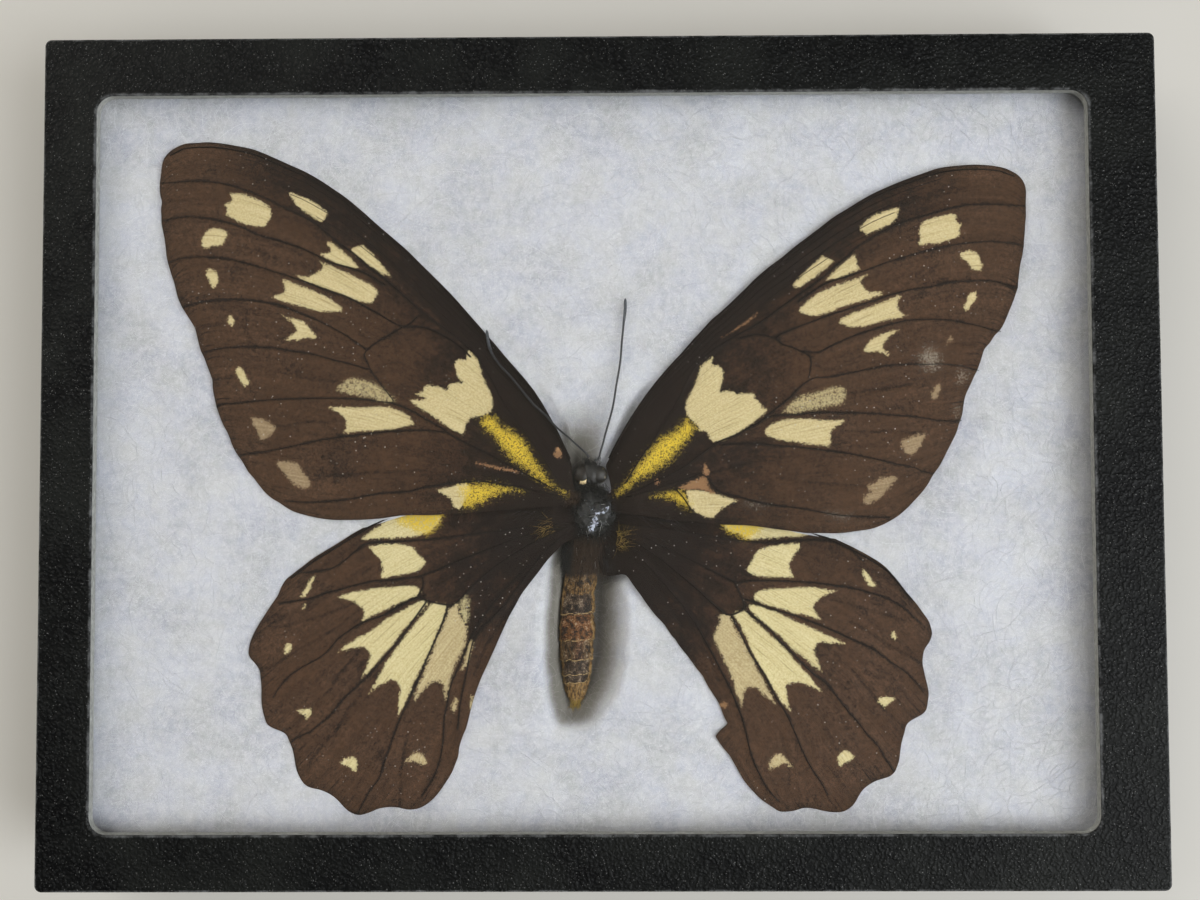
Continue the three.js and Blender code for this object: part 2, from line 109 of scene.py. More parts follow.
# %% Mesh helper
def mesh_piece(name, points, faces, numbers=None):
    """An object at the origin from points in mm (n, 3) and face arrays (m, corners each)."""
    mesh = bpy.data.meshes.new(name)
    corners = np.concatenate([f.reshape(-1) for f in faces]).astype(np.int32)
    counts = np.concatenate([np.full(len(f), f.shape[1]) for f in faces])
    starts = np.concatenate([[0], np.cumsum(counts)[:-1]]).astype(np.int32)
    mesh.vertices.add(len(points))
    mesh.vertices.foreach_set("co", (points * MM).astype(np.float32).ravel())
    mesh.loops.add(len(corners))
    mesh.loops.foreach_set("vertex_index", corners)
    mesh.polygons.add(len(counts))
    mesh.polygons.foreach_set("loop_start", starts)
    mesh.polygons.foreach_set("use_smooth", np.ones(len(counts), bool))
    for label, values in (numbers or {}).items():
        layer = mesh.attributes.new(label, "FLOAT", "POINT")
        layer.data.foreach_set("value", np.asarray(values, np.float32).ravel())
    mesh.update(calc_edges=True)
    mesh.validate()
    piece = bpy.data.objects.new(name, mesh)
    scene.collection.objects.link(piece)
    print(f"{name}: {len(points)} points, {int((counts - 2).sum())} triangles")
    return piece


def place(piece, material, slot, *nodes):
    """The piece wears the material, moves with the case and stands for these CAD nodes."""
    piece.data.materials.append(material)
    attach(piece, ROOT)
    if nodes:
        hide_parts(*nodes)


def grid_faces(rows, columns, wrap_rows=False, wrap_columns=False):
    """Four-cornered faces between neighbouring points of a grid, closed round where it wraps."""
    index = np.arange(rows * columns).reshape(rows, columns)
    if wrap_rows:
        index = np.vstack([index, index[:1]])
    if wrap_columns:
        index = np.hstack([index, index[:, :1]])
    a, b, c, d = index[:-1, :-1], index[1:, :-1], index[1:, 1:], index[:-1, 1:]
    return np.stack([a, b, c, d], axis=-1).reshape(-1, 4)


def rim_of(rows, columns):
    """The numbers of a grid's rim points, in order round it."""
    index = np.arange(rows * columns).reshape(rows, columns)
    return np.concatenate([index[:-1, 0], index[-1, :-1], index[:0:-1, -1], index[0, :0:-1]])


def strip(one, other):
    """Four-cornered faces between two closed rows of as many points."""
    return np.stack([one, np.roll(one, -1), np.roll(other, -1), other], axis=1)


def fan(row, hub):
    """Three-cornered faces from a closed row of points to one hub point."""
    return np.stack([row, np.roll(row, -1), np.full(len(row), hub)], axis=1)


def join(*parts):
    """Several (points, faces, numbers) sets as one set, with the face numbers moved along."""
    points, faces, numbers, start = [], [], {}, 0
    for part_points, part_faces, part_numbers in parts:
        points.append(part_points)
        faces += [f + start for f in part_faces]
        for label, values in part_numbers.items():
            numbers.setdefault(label, []).append(np.broadcast_to(values, len(part_points)))
        start += len(part_points)
    return np.concatenate(points), faces, {k: np.concatenate(v) for k, v in numbers.items()}


# %% [markdown]
# ## Lines, tubes and hills
#
# Three more helpers do most of the work. line() reads listed points from a string, because a
# long list of brackets hides a shape. tubes() carries a small ring along many paths at once: it
# makes veins, feelers, legs, hairs and fibres. hills() is smooth random relief, for anything soft
# or creased.

# %% Line, tube and relief helpers
def line(text):
    """Listed points from 'x y x y ...' as an array (n, 2)."""
    return np.array(text.split(), float).reshape(-1, 2)


def through(points, steps, closed=False):
    """A Catmull-Rom curve through the points: steps samples from each point to the next."""
    if closed:
        p = np.vstack([points[-1:], points, points[:2]])
    else:
        p = np.vstack([2 * points[:1] - points[1:2], points, 2 * points[-1:] - points[-2:-1]])
    t = (np.arange(steps) / steps)[None, :, None]
    a, b, c, d = (p[i:len(p) - 3 + i, None, :] for i in range(4))
    curve = 0.5 * (2 * b + (c - a) * t + (2 * a - 5 * b + 4 * c - d) * t ** 2
                   + (3 * b - a - 3 * c + d) * t ** 3)
    curve = curve.reshape(-1, points.shape[1])
    return curve if closed else np.vstack([curve, points[-1:]])


def evenly(curve, count):
    """The curve again, as count points at equal distances along it."""
    along = np.concatenate([[0], np.cumsum(np.linalg.norm(np.diff(curve, axis=0), axis=1))])
    at = np.linspace(0, along[-1], count)
    return np.stack([np.interp(at, along, curve[:, k]) for k in range(curve.shape[1])], axis=1)


def tubes(paths, radii, sides):
    """Closed tubes: a ring of sides points at right angles to each path (n, k, 3), capped."""
    count, length = paths.shape[:2]
    ahead = np.gradient(paths, axis=1)
    ahead /= np.linalg.norm(ahead, axis=2, keepdims=True) + 1e-12
    upright = np.where(np.abs(ahead[:, :1, 2:]) > 0.9, [1.0, 0.0, 0.0], [0.0, 0.0, 1.0])
    beside = np.cross(ahead, upright)
    beside /= np.linalg.norm(beside, axis=2, keepdims=True) + 1e-12
    above = np.cross(beside, ahead)
    turn = np.arange(sides) * 2 * math.pi / sides
    ring = (beside[:, :, None] * np.cos(turn)[:, None] + above[:, :, None] * np.sin(turn)[:, None])
    points = paths[:, :, None] + ring * np.broadcast_to(radii, (count, length))[:, :, None, None]
    index = np.arange(count * length * sides).reshape(count, length, sides)
    turned = np.roll(index, -1, axis=2)
    walls = np.stack([index[:, :-1], turned[:, :-1], turned[:, 1:], index[:, 1:]], axis=-1)
    return points.reshape(-1, 3), [walls.reshape(-1, 4)[:, ::-1], index[:, 0], index[:, -1, ::-1]]


def hills(x, y, size, seed):
    """Smooth random relief from -1 to 1 with hills of about that size: heights on a lattice,
    blended with a smooth step."""
    table = np.random.default_rng(seed).random((256, 256)) * 2 - 1
    x, y = np.asarray(x) / size, np.asarray(y) / size
    column, row = np.floor(x).astype(int), np.floor(y).astype(int)
    a, b = x - column, y - row
    a, b = a * a * (3 - 2 * a), b * b * (3 - 2 * b)
    low = table[column % 256, row % 256] * (1 - a) + table[(column + 1) % 256, row % 256] * a
    high = (table[column % 256, (row + 1) % 256] * (1 - a)
            + table[(column + 1) % 256, (row + 1) % 256] * a)
    return low * (1 - b) + high * b


def ease(value, start, end):
    """0 before start, 1 after end, and a smooth step between."""
    t = np.clip((value - start) / (end - start), 0, 1)
    return t * t * (3 - 2 * t)


# %% [markdown]
# ## Finishes as sums
#
# A procedural finish is arithmetic on patterns. Written as loose nodes it can't be read, so one
# class wraps a socket, and + - * on it add the Math nodes. Every other node comes from one
# method that takes its type, its settings and what goes into its sockets. Colours are blended with
# Mix nodes, because a Math node would turn them grey.

# %% Finish classes
class Amount:
    """An output socket that can be added, multiplied and compared like a number."""

    def __init__(self, finish, socket):
        self.finish = finish
        self.socket = socket

    def maths(self, operation, *values):
        inputs = dict(enumerate(values))
        return self.finish.node("Math", {"operation": operation}, inputs)

    def __add__(self, other):
        return self.maths("ADD", self, other)

    def __sub__(self, other):
        return self.maths("SUBTRACT", self, other)

    def __rsub__(self, other):
        return self.maths("SUBTRACT", other, self)

    def __mul__(self, other):
        return self.maths("MULTIPLY", self, other)

    __radd__ = __add__
    __rmul__ = __mul__

    def step(self, start, end):
        """0 below start, 1 above end, smooth between. Start above end turns it round."""
        values = {"Value": self, "From Min": start, "From Max": end}
        settings = {"interpolation_type": "SMOOTHSTEP"}
        return self.finish.node("MapRange", settings, values)

    def up_to(self, top):
        return self.maths("MINIMUM", self, top)


class Finish:
    """A material being made: node() adds any node, wear() links what the surface takes."""

    def __init__(self, name, **constants):
        self.material = bpy.data.materials.new(name)
        self.material.use_nodes = True
        self.tree = self.material.node_tree
        self.surface = self.tree.nodes["Principled BSDF"]
        self.wear(**constants)

    def feed(self, target, value):
        if isinstance(value, Amount):
            self.tree.links.new(value.socket, target)
        elif target.type == "RGBA":
            target.default_value = (*value, 1.0)
        else:
            target.default_value = value

    def node(self, kind, settings, inputs, out=0):
        """A node of this kind. Settings come first, as they decide which sockets there are."""
        made = self.tree.nodes.new("ShaderNode" + kind)
        for label, value in settings.items():
            setattr(made, label, value)
        for label, value in inputs.items():
            self.feed(made.inputs[label], value)
        return Amount(self, made.outputs[out])

    def wear(self, **values):
        """Values or links for the surface's sockets, with _ for a space in a socket's name."""
        for label, value in values.items():
            self.feed(self.surface.inputs[label.replace("_", " ")], value)

    def number(self, label):
        """The number of that name that the mesh holds at each point."""
        return self.node("Attribute", {"attribute_name": label}, {}, out="Fac")

    def place(self, scale=(1, 1, 1), turn=0.0):
        """Coordinates on the piece, stretched by scale and turned round Z."""
        at = self.node("TexCoord", {}, {}, out="Object")
        inputs = {"Vector": at, "Scale": scale, "Rotation": (0, 0, turn)}
        return self.node("Mapping", {}, inputs)

    def noise(self, at, scale, detail=2.0, rough=0.5, warp=0.0):
        inputs = {"Vector": at, "Scale": scale, "Detail": detail, "Roughness": rough,
                  "Distortion": warp}
        return self.node("TexNoise", {}, inputs)

    def cells(self, at, scale, feature="F1", out="Distance"):
        inputs = {"Vector": at, "Scale": scale}
        return self.node("TexVoronoi", {"feature": feature}, inputs, out=out)

    def blend(self, share, first, second):
        """First colour at share 0, second at share 1."""
        inputs = {0: share, 6: first, 7: second}
        return self.node("Mix", {"data_type": "RGBA"}, inputs, out=2)

    def bump(self, height, strength, distance):
        """A height pressed into the surface; distance in mm is what 1 means."""
        inputs = {"Height": height, "Strength": strength, "Distance": distance * MM}
        return self.node("Bump", {}, inputs)


print("finish helpers ready")

# %% [markdown]
# ## Floor and light
#
# The case lies on a plain pale floor. In the photo the daylight comes from the right and a little
# from below, at about 40 degrees: the right and lower edges of the window throw a soft shade on the
# wadding and the case throws one to its left. One large soft lamp does that, a second one higher up
# stands for the sky, a warm one on the other side opens the shadows, and a dim warm world fills the
# rest. All three lamps stand outside the part of the room that the glass mirrors to the camera.
#
# Light that reaches a matt surface through a refracting sheet is slow to find for a path tracer. So
# multiple importance sampling is off for the lamps and they aren't seen in refraction, and the
# world isn't sampled on its own or seen in mirrors. Otherwise light is lost under the glass.

# %% Floor and lamps
FLOOR_HALF = 1500.0
FLOOR_LEVEL = -0.02
WORLD_COLOUR = (1.0, 0.94, 0.80, 1.0)
WORLD_STRENGTH = 0.29
floor_points = np.array([[-1, -1, 0], [1, -1, 0], [1, 1, 0], [-1, 1, 0]]) * FLOOR_HALF
floor_points[:, 2] = FLOOR_LEVEL
floor = mesh_piece("floor", floor_points, [np.array([[0, 1, 2, 3]])])
floor_finish = Finish("pale_floor", Roughness=0.6)
floor_mottle = floor_finish.noise(floor_finish.place(), 40.0, 3.0)
floor_finish.wear(Base_Color=floor_finish.blend(
    floor_mottle, (0.88, 0.87, 0.845), (0.91, 0.90, 0.88)))
floor.data.materials.append(floor_finish.material)

LAMPS = {
    "window_light": {"place": (0.88, -0.34, 0.64), "size": 0.8, "power": 5.8,
                     "colour": (0.955, 0.985, 1.0)},
    "sky_light": {"place": (0.45, -0.20, 0.95), "size": 1.2, "power": 2.1,
                  "colour": (0.965, 0.985, 1.0)},
    "fill_light": {"place": (-0.75, 0.55, 0.60), "size": 0.9, "power": 3.2,
                   "colour": (1.0, 0.96, 0.89)},
}
for lamp_name, facts in LAMPS.items():
    lamp_data = bpy.data.lights.new(lamp_name, "AREA")
    lamp_data.size = facts["size"]
    lamp_data.energy = facts["power"]
    lamp_data.color = facts["colour"]
    lamp = bpy.data.objects.new(lamp_name, lamp_data)
    lamp.location = facts["place"]
    away = np.array(facts["place"])
    lamp.rotation_euler = (math.atan2(np.hypot(away[0], away[1]), away[2]), 0,
                           math.atan2(away[1], away[0]) + math.pi / 2)
    lamp_data.cycles.use_multiple_importance_sampling = False
    lamp.visible_transmission = False
    scene.collection.objects.link(lamp)
    print(lamp_name, "stands", round(float(np.linalg.norm(away)), 2), "m away")

world = bpy.data.worlds.new("even_room")
world.use_nodes = True
background = world.node_tree.nodes["Background"]
background.inputs["Color"].default_value = WORLD_COLOUR
background.inputs["Strength"].default_value = WORLD_STRENGTH
world.cycles.sampling_method = "NONE"
world.cycles_visibility.glossy = False
scene.world = world

# %% [markdown]
# ## The lid
#
# The lid is stout card covered in black paper that is embossed like leather. Its top is a frame of
# unequal borders round the window, and its skirt slides down over the tray. One profile carried
# round the case makes it all: across the top from the window to the outer edge, over the rounded
# edge, down the outside, under the rim, up the inside, back below the board and up the window's
# cut edge. The window and the case have rings with the same number of points, so each point of the
# profile is a blend of two rings. The relief is real: the paper is a little wavy, it is folded over
# at the corners of the short sides, and one crease runs out of a corner of the window.

# %% Lid shape
CASE_HALF = (105.0, 80.0)
CASE_TOP = 19.0
LID_BOTTOM = 0.6
BOARD = 1.5
CASE_CORNER = 1.4
EDGE_ROUND = 0.8
WINDOW = (-94.8, 92.0, -69.3, 68.9)
WINDOW_CORNER = 3.2
RING_COUNTS = (204, 154, 9)


def ring(left, right, bottom, top, corner):
    """A rounded rectangle, anticlockwise from the right side's lower end, as (n, 2) points:
    straight sides at even steps and quarter circles at even angles."""
    wide, tall, curved = RING_COUNTS
    spots = []
    corners = [(right - corner, top - corner), (left + corner, top - corner),
               (left + corner, bottom + corner), (right - corner, bottom + corner)]
    starts = [(right, bottom + corner), (right - corner, top), (left, top - corner),
              (left + corner, bottom)]
    ends = [(right, top - corner), (left + corner, top), (left, bottom + corner),
            (right - corner, bottom)]
    for side in range(4):
        count = tall if side % 2 == 0 else wide
        t = np.linspace(0, 1, count, endpoint=False)[:, None]
        spots.append(np.array(starts[side]) * (1 - t) + np.array(ends[side]) * t)
        angle = side * math.pi / 2 + np.linspace(0, math.pi / 2, curved, endpoint=False)
        circle = np.stack([np.cos(angle), np.sin(angle)], axis=1)
        spots.append(np.array(corners[side]) + corner * circle)
    return np.concatenate(spots)


def case_ring(inset):
    """The case's outline moved inwards by inset mm."""
    x, y = CASE_HALF[0] - inset, CASE_HALF[1] - inset
    return ring(-x, x, -y, y, max(CASE_CORNER - inset, 0.15))


def window_ring(inset):
    """The window's outline moved out into the board by inset mm."""
    left, right, bottom, top = WINDOW
    return ring(left - inset, right + inset, bottom - inset, top + inset, WINDOW_CORNER + inset)


def lid_profile():
    """Rows of (ring, height, rub, cut): rub is 1 on worn edges, which also get a painted highlight,
    and cut is 1 on bare board.
    """
    rows = []
    inner, outer = window_ring(0.3), case_ring(EDGE_ROUND)
    for t in np.linspace(0, 1, 15):
        rows.append((inner * (1 - t) + outer * t, CASE_TOP, max(0.0, 1 - 14 * t), 0.0))
    for angle in np.radians([18, 36, 54, 72, 90]):
        inset = EDGE_ROUND * (1 - math.sin(angle))
        rows.append((case_ring(inset), CASE_TOP - EDGE_ROUND * (1 - math.cos(angle)),
                     math.sin(2 * angle) * 0.6 + 0.4, 0.0))
    for height in np.linspace(CASE_TOP - EDGE_ROUND - 1, LID_BOTTOM + 0.2, 15):
        rows.append((case_ring(0), height, 0.0, 0.0))
    rows.append((case_ring(0.2), LID_BOTTOM, 1.0, 0.0))
    rows.append((case_ring(BOARD - 0.2), LID_BOTTOM, 1.0, 0.0))
    for height in np.linspace(LID_BOTTOM + 0.2, CASE_TOP - BOARD, 8):
        rows.append((case_ring(BOARD), height, 0.0, 0.4))
    outer = case_ring(BOARD)
    inner = window_ring(0.05)
    for t in (0.35, 0.7, 1.0):
        rows.append((outer * (1 - t) + inner * t, CASE_TOP - BOARD, 0.0, 0.6))
    for height in (17.6, 17.9, 18.2, 18.5):
        rows.append((window_ring(0.0), height, 0.0, 1.0))
    rows.append((window_ring(0.0), 18.72, 0.0, 0.9))
    rows.append((window_ring(0.05), 18.88, 1.0, 0.15))
    rows.append((window_ring(0.14), 18.96, 1.0, 0.0))
    return rows


rows = lid_profile()
lid_points = np.stack([np.column_stack([r[0], np.full(len(r[0]), r[1])]) for r in rows])
rub_and_sheen = np.stack([np.full(len(r[0]), r[2]) for r in rows])
cut = np.stack([np.full(len(r[0]), r[3]) for r in rows])
x, y, z = lid_points[..., 0], lid_points[..., 1], lid_points[..., 2]

on_top = ease(z, 18.9, 19.0)
waves = 0.045 * hills(x, y, 13, 1) + 0.02 * hills(x, y, 3.1, 2)
crease_line = (x - WINDOW[1]) + (y - WINDOW[2]) + 0.6 * hills(x, y, 5, 3)
past_corner = ease((x - WINDOW[1]) - (y - WINDOW[2]), -1, 3) * ease(y, -81, -76)
crease = np.exp(-(crease_line / 0.55) ** 2) * past_corner * (x > 88) * (y < -66)
crease *= 1 - ease(x, 101, 103)
lid_points[..., 2] += on_top * (waves - 0.03 + 0.09 * crease)

on_short_side, on_long_side = np.abs(x) > CASE_HALF[0] - 0.1, np.abs(y) > CASE_HALF[1] - 0.1
outside = (on_short_side | on_long_side) & (z < 18)
flap = ease(np.abs(y) - 8 * z / CASE_TOP - 60 + 0.4 * hills(y, z, 4, 4), 0, 0.9) * on_short_side
bulge = 0.05 * hills(x + y, z, 17, 5) + 0.02 * hills(x - y, z, 4, 6) - 0.07
lid_points[..., 0] += np.sign(x) * outside * on_short_side * (bulge - 0.1 + 0.13 * flap)
lid_points[..., 1] += np.sign(y) * outside * on_long_side * bulge

lid_faces = grid_faces(*lid_points.shape[:2], wrap_rows=True, wrap_columns=True)
lid = mesh_piece("lid_card_cover", lid_points.reshape(-1, 3), [lid_faces],
                 {"rub_and_sheen": rub_and_sheen, "cut": cut})

# %% [markdown]
# ## Embossed black paper
#
# The paper's grain is a net of round pebbles about a millimetre across, with finer ones between,
# so it is two Voronoi patterns pressed into the surface, warped a little so that they don't line
# up. It is sized paper with a soft sheen: the pebbles' tops are smoother than the furrows. The
# furrows are painted darker as shade, and sparse light specks are painted on as glints. Edges
# that are handled go grey, and that grey is also a painted highlight along the rounded top edge.
# The window's cut edge shows the bare grey board.

# %% Paper finishes
def pebbled_paper(name, top_colour, furrow_shade_colour):
    """Black leather-like paper on Object coordinates, in metres: 1000 cells a metre are 1 mm."""
    finish = Finish(name, Specular_IOR_Level=0.22)
    at = finish.place()
    drift = finish.node("TexNoise", {}, {"Vector": at, "Scale": 420.0, "Detail": 2.0}, out="Color")
    pushed = finish.node("VectorMath", {"operation": "SCALE"}, {0: drift, "Scale": 0.0011})
    warped = finish.node("VectorMath", {"operation": "ADD"}, {0: at, 1: pushed})
    coarse = finish.cells(warped, 1700.0, "SMOOTH_F1")
    fine = finish.cells(warped, 3100.0, "F1")
    grain = finish.noise(at, 5200.0, 3.0)
    pebbles = 1 - coarse.step(0.12, 0.62)
    height = pebbles * 0.75 + (1 - fine) * 0.25 + grain * 0.12
    cloud = finish.noise(at, 55.0, 4.0, 0.6)
    # Painted shade: the furrows get a darker colour than the pebble tops.
    base = finish.blend(pebbles.step(0.1, 0.9), furrow_shade_colour, top_colour)
    shaded = finish.blend(cloud.step(0.3, 0.75), base, (0.016, 0.018, 0.017))
    # Painted highlight: sparse light specks as glints on the grain.
    glint = finish.cells(warped, 1900.0, "F1").step(0.24, 0.12) * grain.step(0.50, 0.58)
    shaded = finish.blend(glint * 0.85, shaded, (0.26, 0.265, 0.27))
    return finish, at, height, pebbles, shaded


lid_finish, at, height, pebbles, shaded = pebbled_paper(
    "pebbled_black_paper", (0.0135, 0.0145, 0.0155), (0.003, 0.0033, 0.004))
worn = lid_finish.noise(at, 330.0, 5.0, 0.7)
# Worn edges go grey; on the rounded top edge the same grey is a painted bluish highlight.
rub_and_sheen_share = lid_finish.number("rub_and_sheen") * (worn * 1.6 - 0.3)
worn_grey_and_highlight = lid_finish.blend(rub_and_sheen_share.step(0.25, 0.75) * 0.8, shaded, (0.20, 0.21, 0.225))
board_speck = lid_finish.noise(lid_finish.place((1, 1, 5)), 900.0, 4.0, 0.7)
board = lid_finish.blend(board_speck.step(0.35, 0.7), (0.30, 0.31, 0.30), (0.52, 0.53, 0.52))
bare = lid_finish.number("cut").step(0.1, 0.7)
lid_finish.wear(
    Base_Color=lid_finish.blend(bare, worn_grey_and_highlight, board),
    Roughness=(0.52 - pebbles * 0.14 + worn * 0.12) * (1 - bare) + bare * 0.85,
    Normal=lid_finish.bump(height * (1 - bare), 0.9, 0.22))
place(lid, lid_finish.material, "lid_card", "lid")

# %% [markdown]
# ## The tray
#
# The tray is the case's lower half. Only its underside and a line below the lid's rim show, so the
# CAD solid stays and gets the tray's finish: plain black paper, scuffed where it slides.

# %% Tray finish
def dress(node, finish):
    """The CAD's own solid keeps its shape and wears the finish."""
    solid = frame["nodes"][node]
    solid.data.materials.clear()
    solid.data.materials.append(finish.material)
    return solid


tray_finish, at, height, pebbles, shaded = pebbled_paper(
    "black_lining_paper", (0.024, 0.025, 0.028), (0.013, 0.014, 0.016))
scuff = tray_finish.noise(tray_finish.place((1, 14, 1), 0.3), 160.0, 5.0, 0.65)
tray_finish.wear(
    Base_Color=tray_finish.blend(scuff.step(0.62, 0.8) * 0.5, shaded, (0.09, 0.09, 0.092)),
    Roughness=0.7 - pebbles * 0.1 + scuff * 0.12,
    Normal=tray_finish.bump(height, 0.4, 0.1))
dress("base_tray", tray_finish)

# %% [markdown]
# ## The glass
#
# A sheet of clear glass lies under the lid's window, and the butterfly is pressed against it. It is
# a real refracting solid: no roughness, an index of 1.5 and the faintest green. Light through a
# refracting sheet is slow to find for a path tracer, so the sheet throws no shadow, and the lamps
# reach the insect directly. It is left clean: the photo's pale dust is made on the wings instead.

# %% Glass finish
glass_finish = Finish("clear_glass", Transmission_Weight=1.0, IOR=1.5, Roughness=0.0,
                      Base_Color=(0.985, 0.995, 0.99))
dress("glass", glass_finish).visible_shadow = False

# %% [markdown]
# ## The butterfly's outlines
#
# The wings' outlines, their pale patches and their veins were picked on zoomed crops of the photo
# and turned into millimetres with the fitted camera. A wing's outline starts at the front of its
# base, follows the front edge to the tip, the outer margin, and the hind edge back to the body.

# %% Wing outlines
FORE_LEFT = line("""
-5.3 -1.7 -5.7 -0.1 -6.6 1.8 -8 5 -9.2 7.3 -10.7 10.1 -12.9 13.6 -15 16.2 -18.1 19.8 -19.9 22
-22.4 24.9 -25 27.9 -27.7 31 -29.9 33.3 -31.7 35.1 -35 38.4 -36.8 40.2 -39.9 42.9 -42 44.7 -45.1
47.5 -48.4 50.3 -51.1 52.2 -53.8 54 -56.6 55.6 -59.9 57.1 -62.1 58.1 -64.8 59.3 -67 60.1 -70
60.7 -72.2 61.1 -75 61.4 -77.2 61.3 -79.5 61.15 -80.4 60.9 -81.3 60.5 -82.2 60 -82.95 59.35
-83.55 58.6 -84 57.7 -84.25 56.5 -84.4 55 -84.5 53.8 -84.57 52.6 -84.55 51.7 -84.4 50.8 -84.2
49.9 -84.25 49 -84.3 48.1 -84.2 47.2 -84.1 46.1 -84.1 45.4 -83.9 44.3 -83.55 42.7 -83.3 40.9
-83.1 39.2 -82.7 37.6 -82.2 35.8 -81.6 34.1 -81 31.6 -80.3 29.9 -79.1 27.9 -77.6 25.4 -77 23.2
-76.5 21.3 -75.8 19.9 -75 17.7 -74.2 15.5 -74 13.4 -73.2 10.1 -72.2 7.3 -71 5 -69.9 2.2 -68.4 0
-67.2 -2.1 -66 -3.5 -65 -4.84 -63.7 -6.35 -62.3 -7.5 -61.2 -8.1 -60 -8.95 -58.5 -9.8 -57 -10.3
-55 -10.8 -53 -11.2 -50.8 -11.45 -48.4 -11.5 -45.6 -11.45 -42.1 -11.25 -39.5 -10.9 -37.9 -10.7
-35.1 -10.6 -32.7 -10.65 -28 -10.4 -25 -10.2 -20 -9.8 -15 -9.4 -10 -9 -6.5 -8.9 -1.6 -8.7 -1.6
-7.2 -4.2 -6.4 -5 -5 -5.3 -3.2""")
FORE_RIGHT = line("""
1.2 -1.45 1.8 -0.1 2.6 1.56 3.8 3.9 5.07 6.1 6.6 8.7 8.2 11 10 13.6 11.8 15.8 13.7 18 15.8 20.2
17.8 22.5 20.15 25 21.4 26.4 23.03 27.75 24.95 29.5 26.3 30.8 28.2 32.6 30 34.4 32.6 36.6 35
38.35 37.6 40.5 40 42.3 42.8 44.4 45 46.1 47.5 47.6 50 49.15 52.4 50.5 55 51.7 57.4 52.7 60 53.7
62.6 54.6 65 55.4 67.5 55.8 70 56 72.2 56.1 74.1 56 76 55.8 77.9 55.4 79.6 54.6 80.7 53.8 81.5
52.7 81.9 51.3 81.9 49.6 81.8 48 81.9 46.35 81.7 44.7 81.6 43.06 81.35 40.9 81.07 38.7 80.6 36.8
80.25 34.3 79.98 32.4 79.6 31.05 79.15 29.8 78.2 27.6 77.4 25.7 76.55 24.3 75.45 23.2 74.6 21.85
73.5 20.6 72.9 18.8 72.3 17.2 71.5 15.5 70.65 13.6 69.8 11.85 69.4 10.06 69.1 8.1 68.5 6.5 68.05
4.85 67.1 2.9 66.1 1 65.3 -0.6 64.5 -1.96 63.5 -3.2 62.6 -4.8 61.5 -6.35 60 -8 58.45 -9.6 56.8
-11 55.03 -12.1 53.2 -13 51.3 -13.6 49.1 -13.9 46.9 -14.2 44.7 -14.35 42 -14.3 39.2 -14.3 36.5
-13.9 33.5 -13.5 30 -13 27.4 -12.75 24 -12.65 20 -12.3 15 -11.8 10 -11.2 6 -10.6 0 -9.8 0 -7.4
2.1 -6.5 1.8 -3.6""")
HIND_LEFT = line("""
-2 -9.6 -8 -7.6 -15 -6.3 -23 -6.2 -31 -7.4 -37 -9.2 -42.1 -11.3 -43.7 -12.1 -45.6 -13.2 -47.5
-14.3 -50 -15.9 -52.5 -17.4 -55 -18.96 -57 -20.5 -59.05 -22.06 -60 -22.9 -60.8 -24.2 -61.4 -25.7
-62.2 -26.9 -63.2 -28.4 -64.3 -30.1 -65.1 -31.4 -66.04 -33.2 -66.6 -34.6 -66.85 -35.8 -66.9
-36.9 -66.45 -37.8 -65.6 -38.7 -64.8 -40 -64.6 -41.4 -64.4 -43.3 -64.4 -45.5 -64.2 -47.2 -63.7
-49.1 -63.2 -50.2 -62.06 -50.9 -60.8 -51.4 -59.7 -52.04 -59.05 -53.3 -58.5 -54.7 -58.1 -56.5
-57.7 -58.7 -57 -60.3 -56.2 -61.4 -55.07 -62.1 -53.3 -62.5 -51.6 -63.2 -50 -64.3 -48.6 -65.8
-47.3 -66.8 -45.6 -67.2 -44.2 -66.9 -42.9 -66.4 -42 -66.03 -39.9 -65.75 -38.4 -65.9 -36.8 -66.2
-35.3 -66.2 -33.8 -65.75 -32.4 -64.85 -31.03 -63.5 -29.7 -61.7 -28.3 -59.5 -27.5 -57.6 -27 -56.2
-26.8 -54.6 -26.2 -52.6 -25.5 -51 -25 -49.1 -24.45 -46.9 -23.9 -45 -22.8 -41.95 -21.4 -38.9
-20.1 -36.06 -19.2 -34 -18.4 -32.3 -17.3 -29.9 -16.2 -28 -15 -25.8 -13.5 -23.8 -11.84 -21.7
-10.1 -19.4 -8.4 -17.6 -6.4 -15.8 -2 -14.4""")
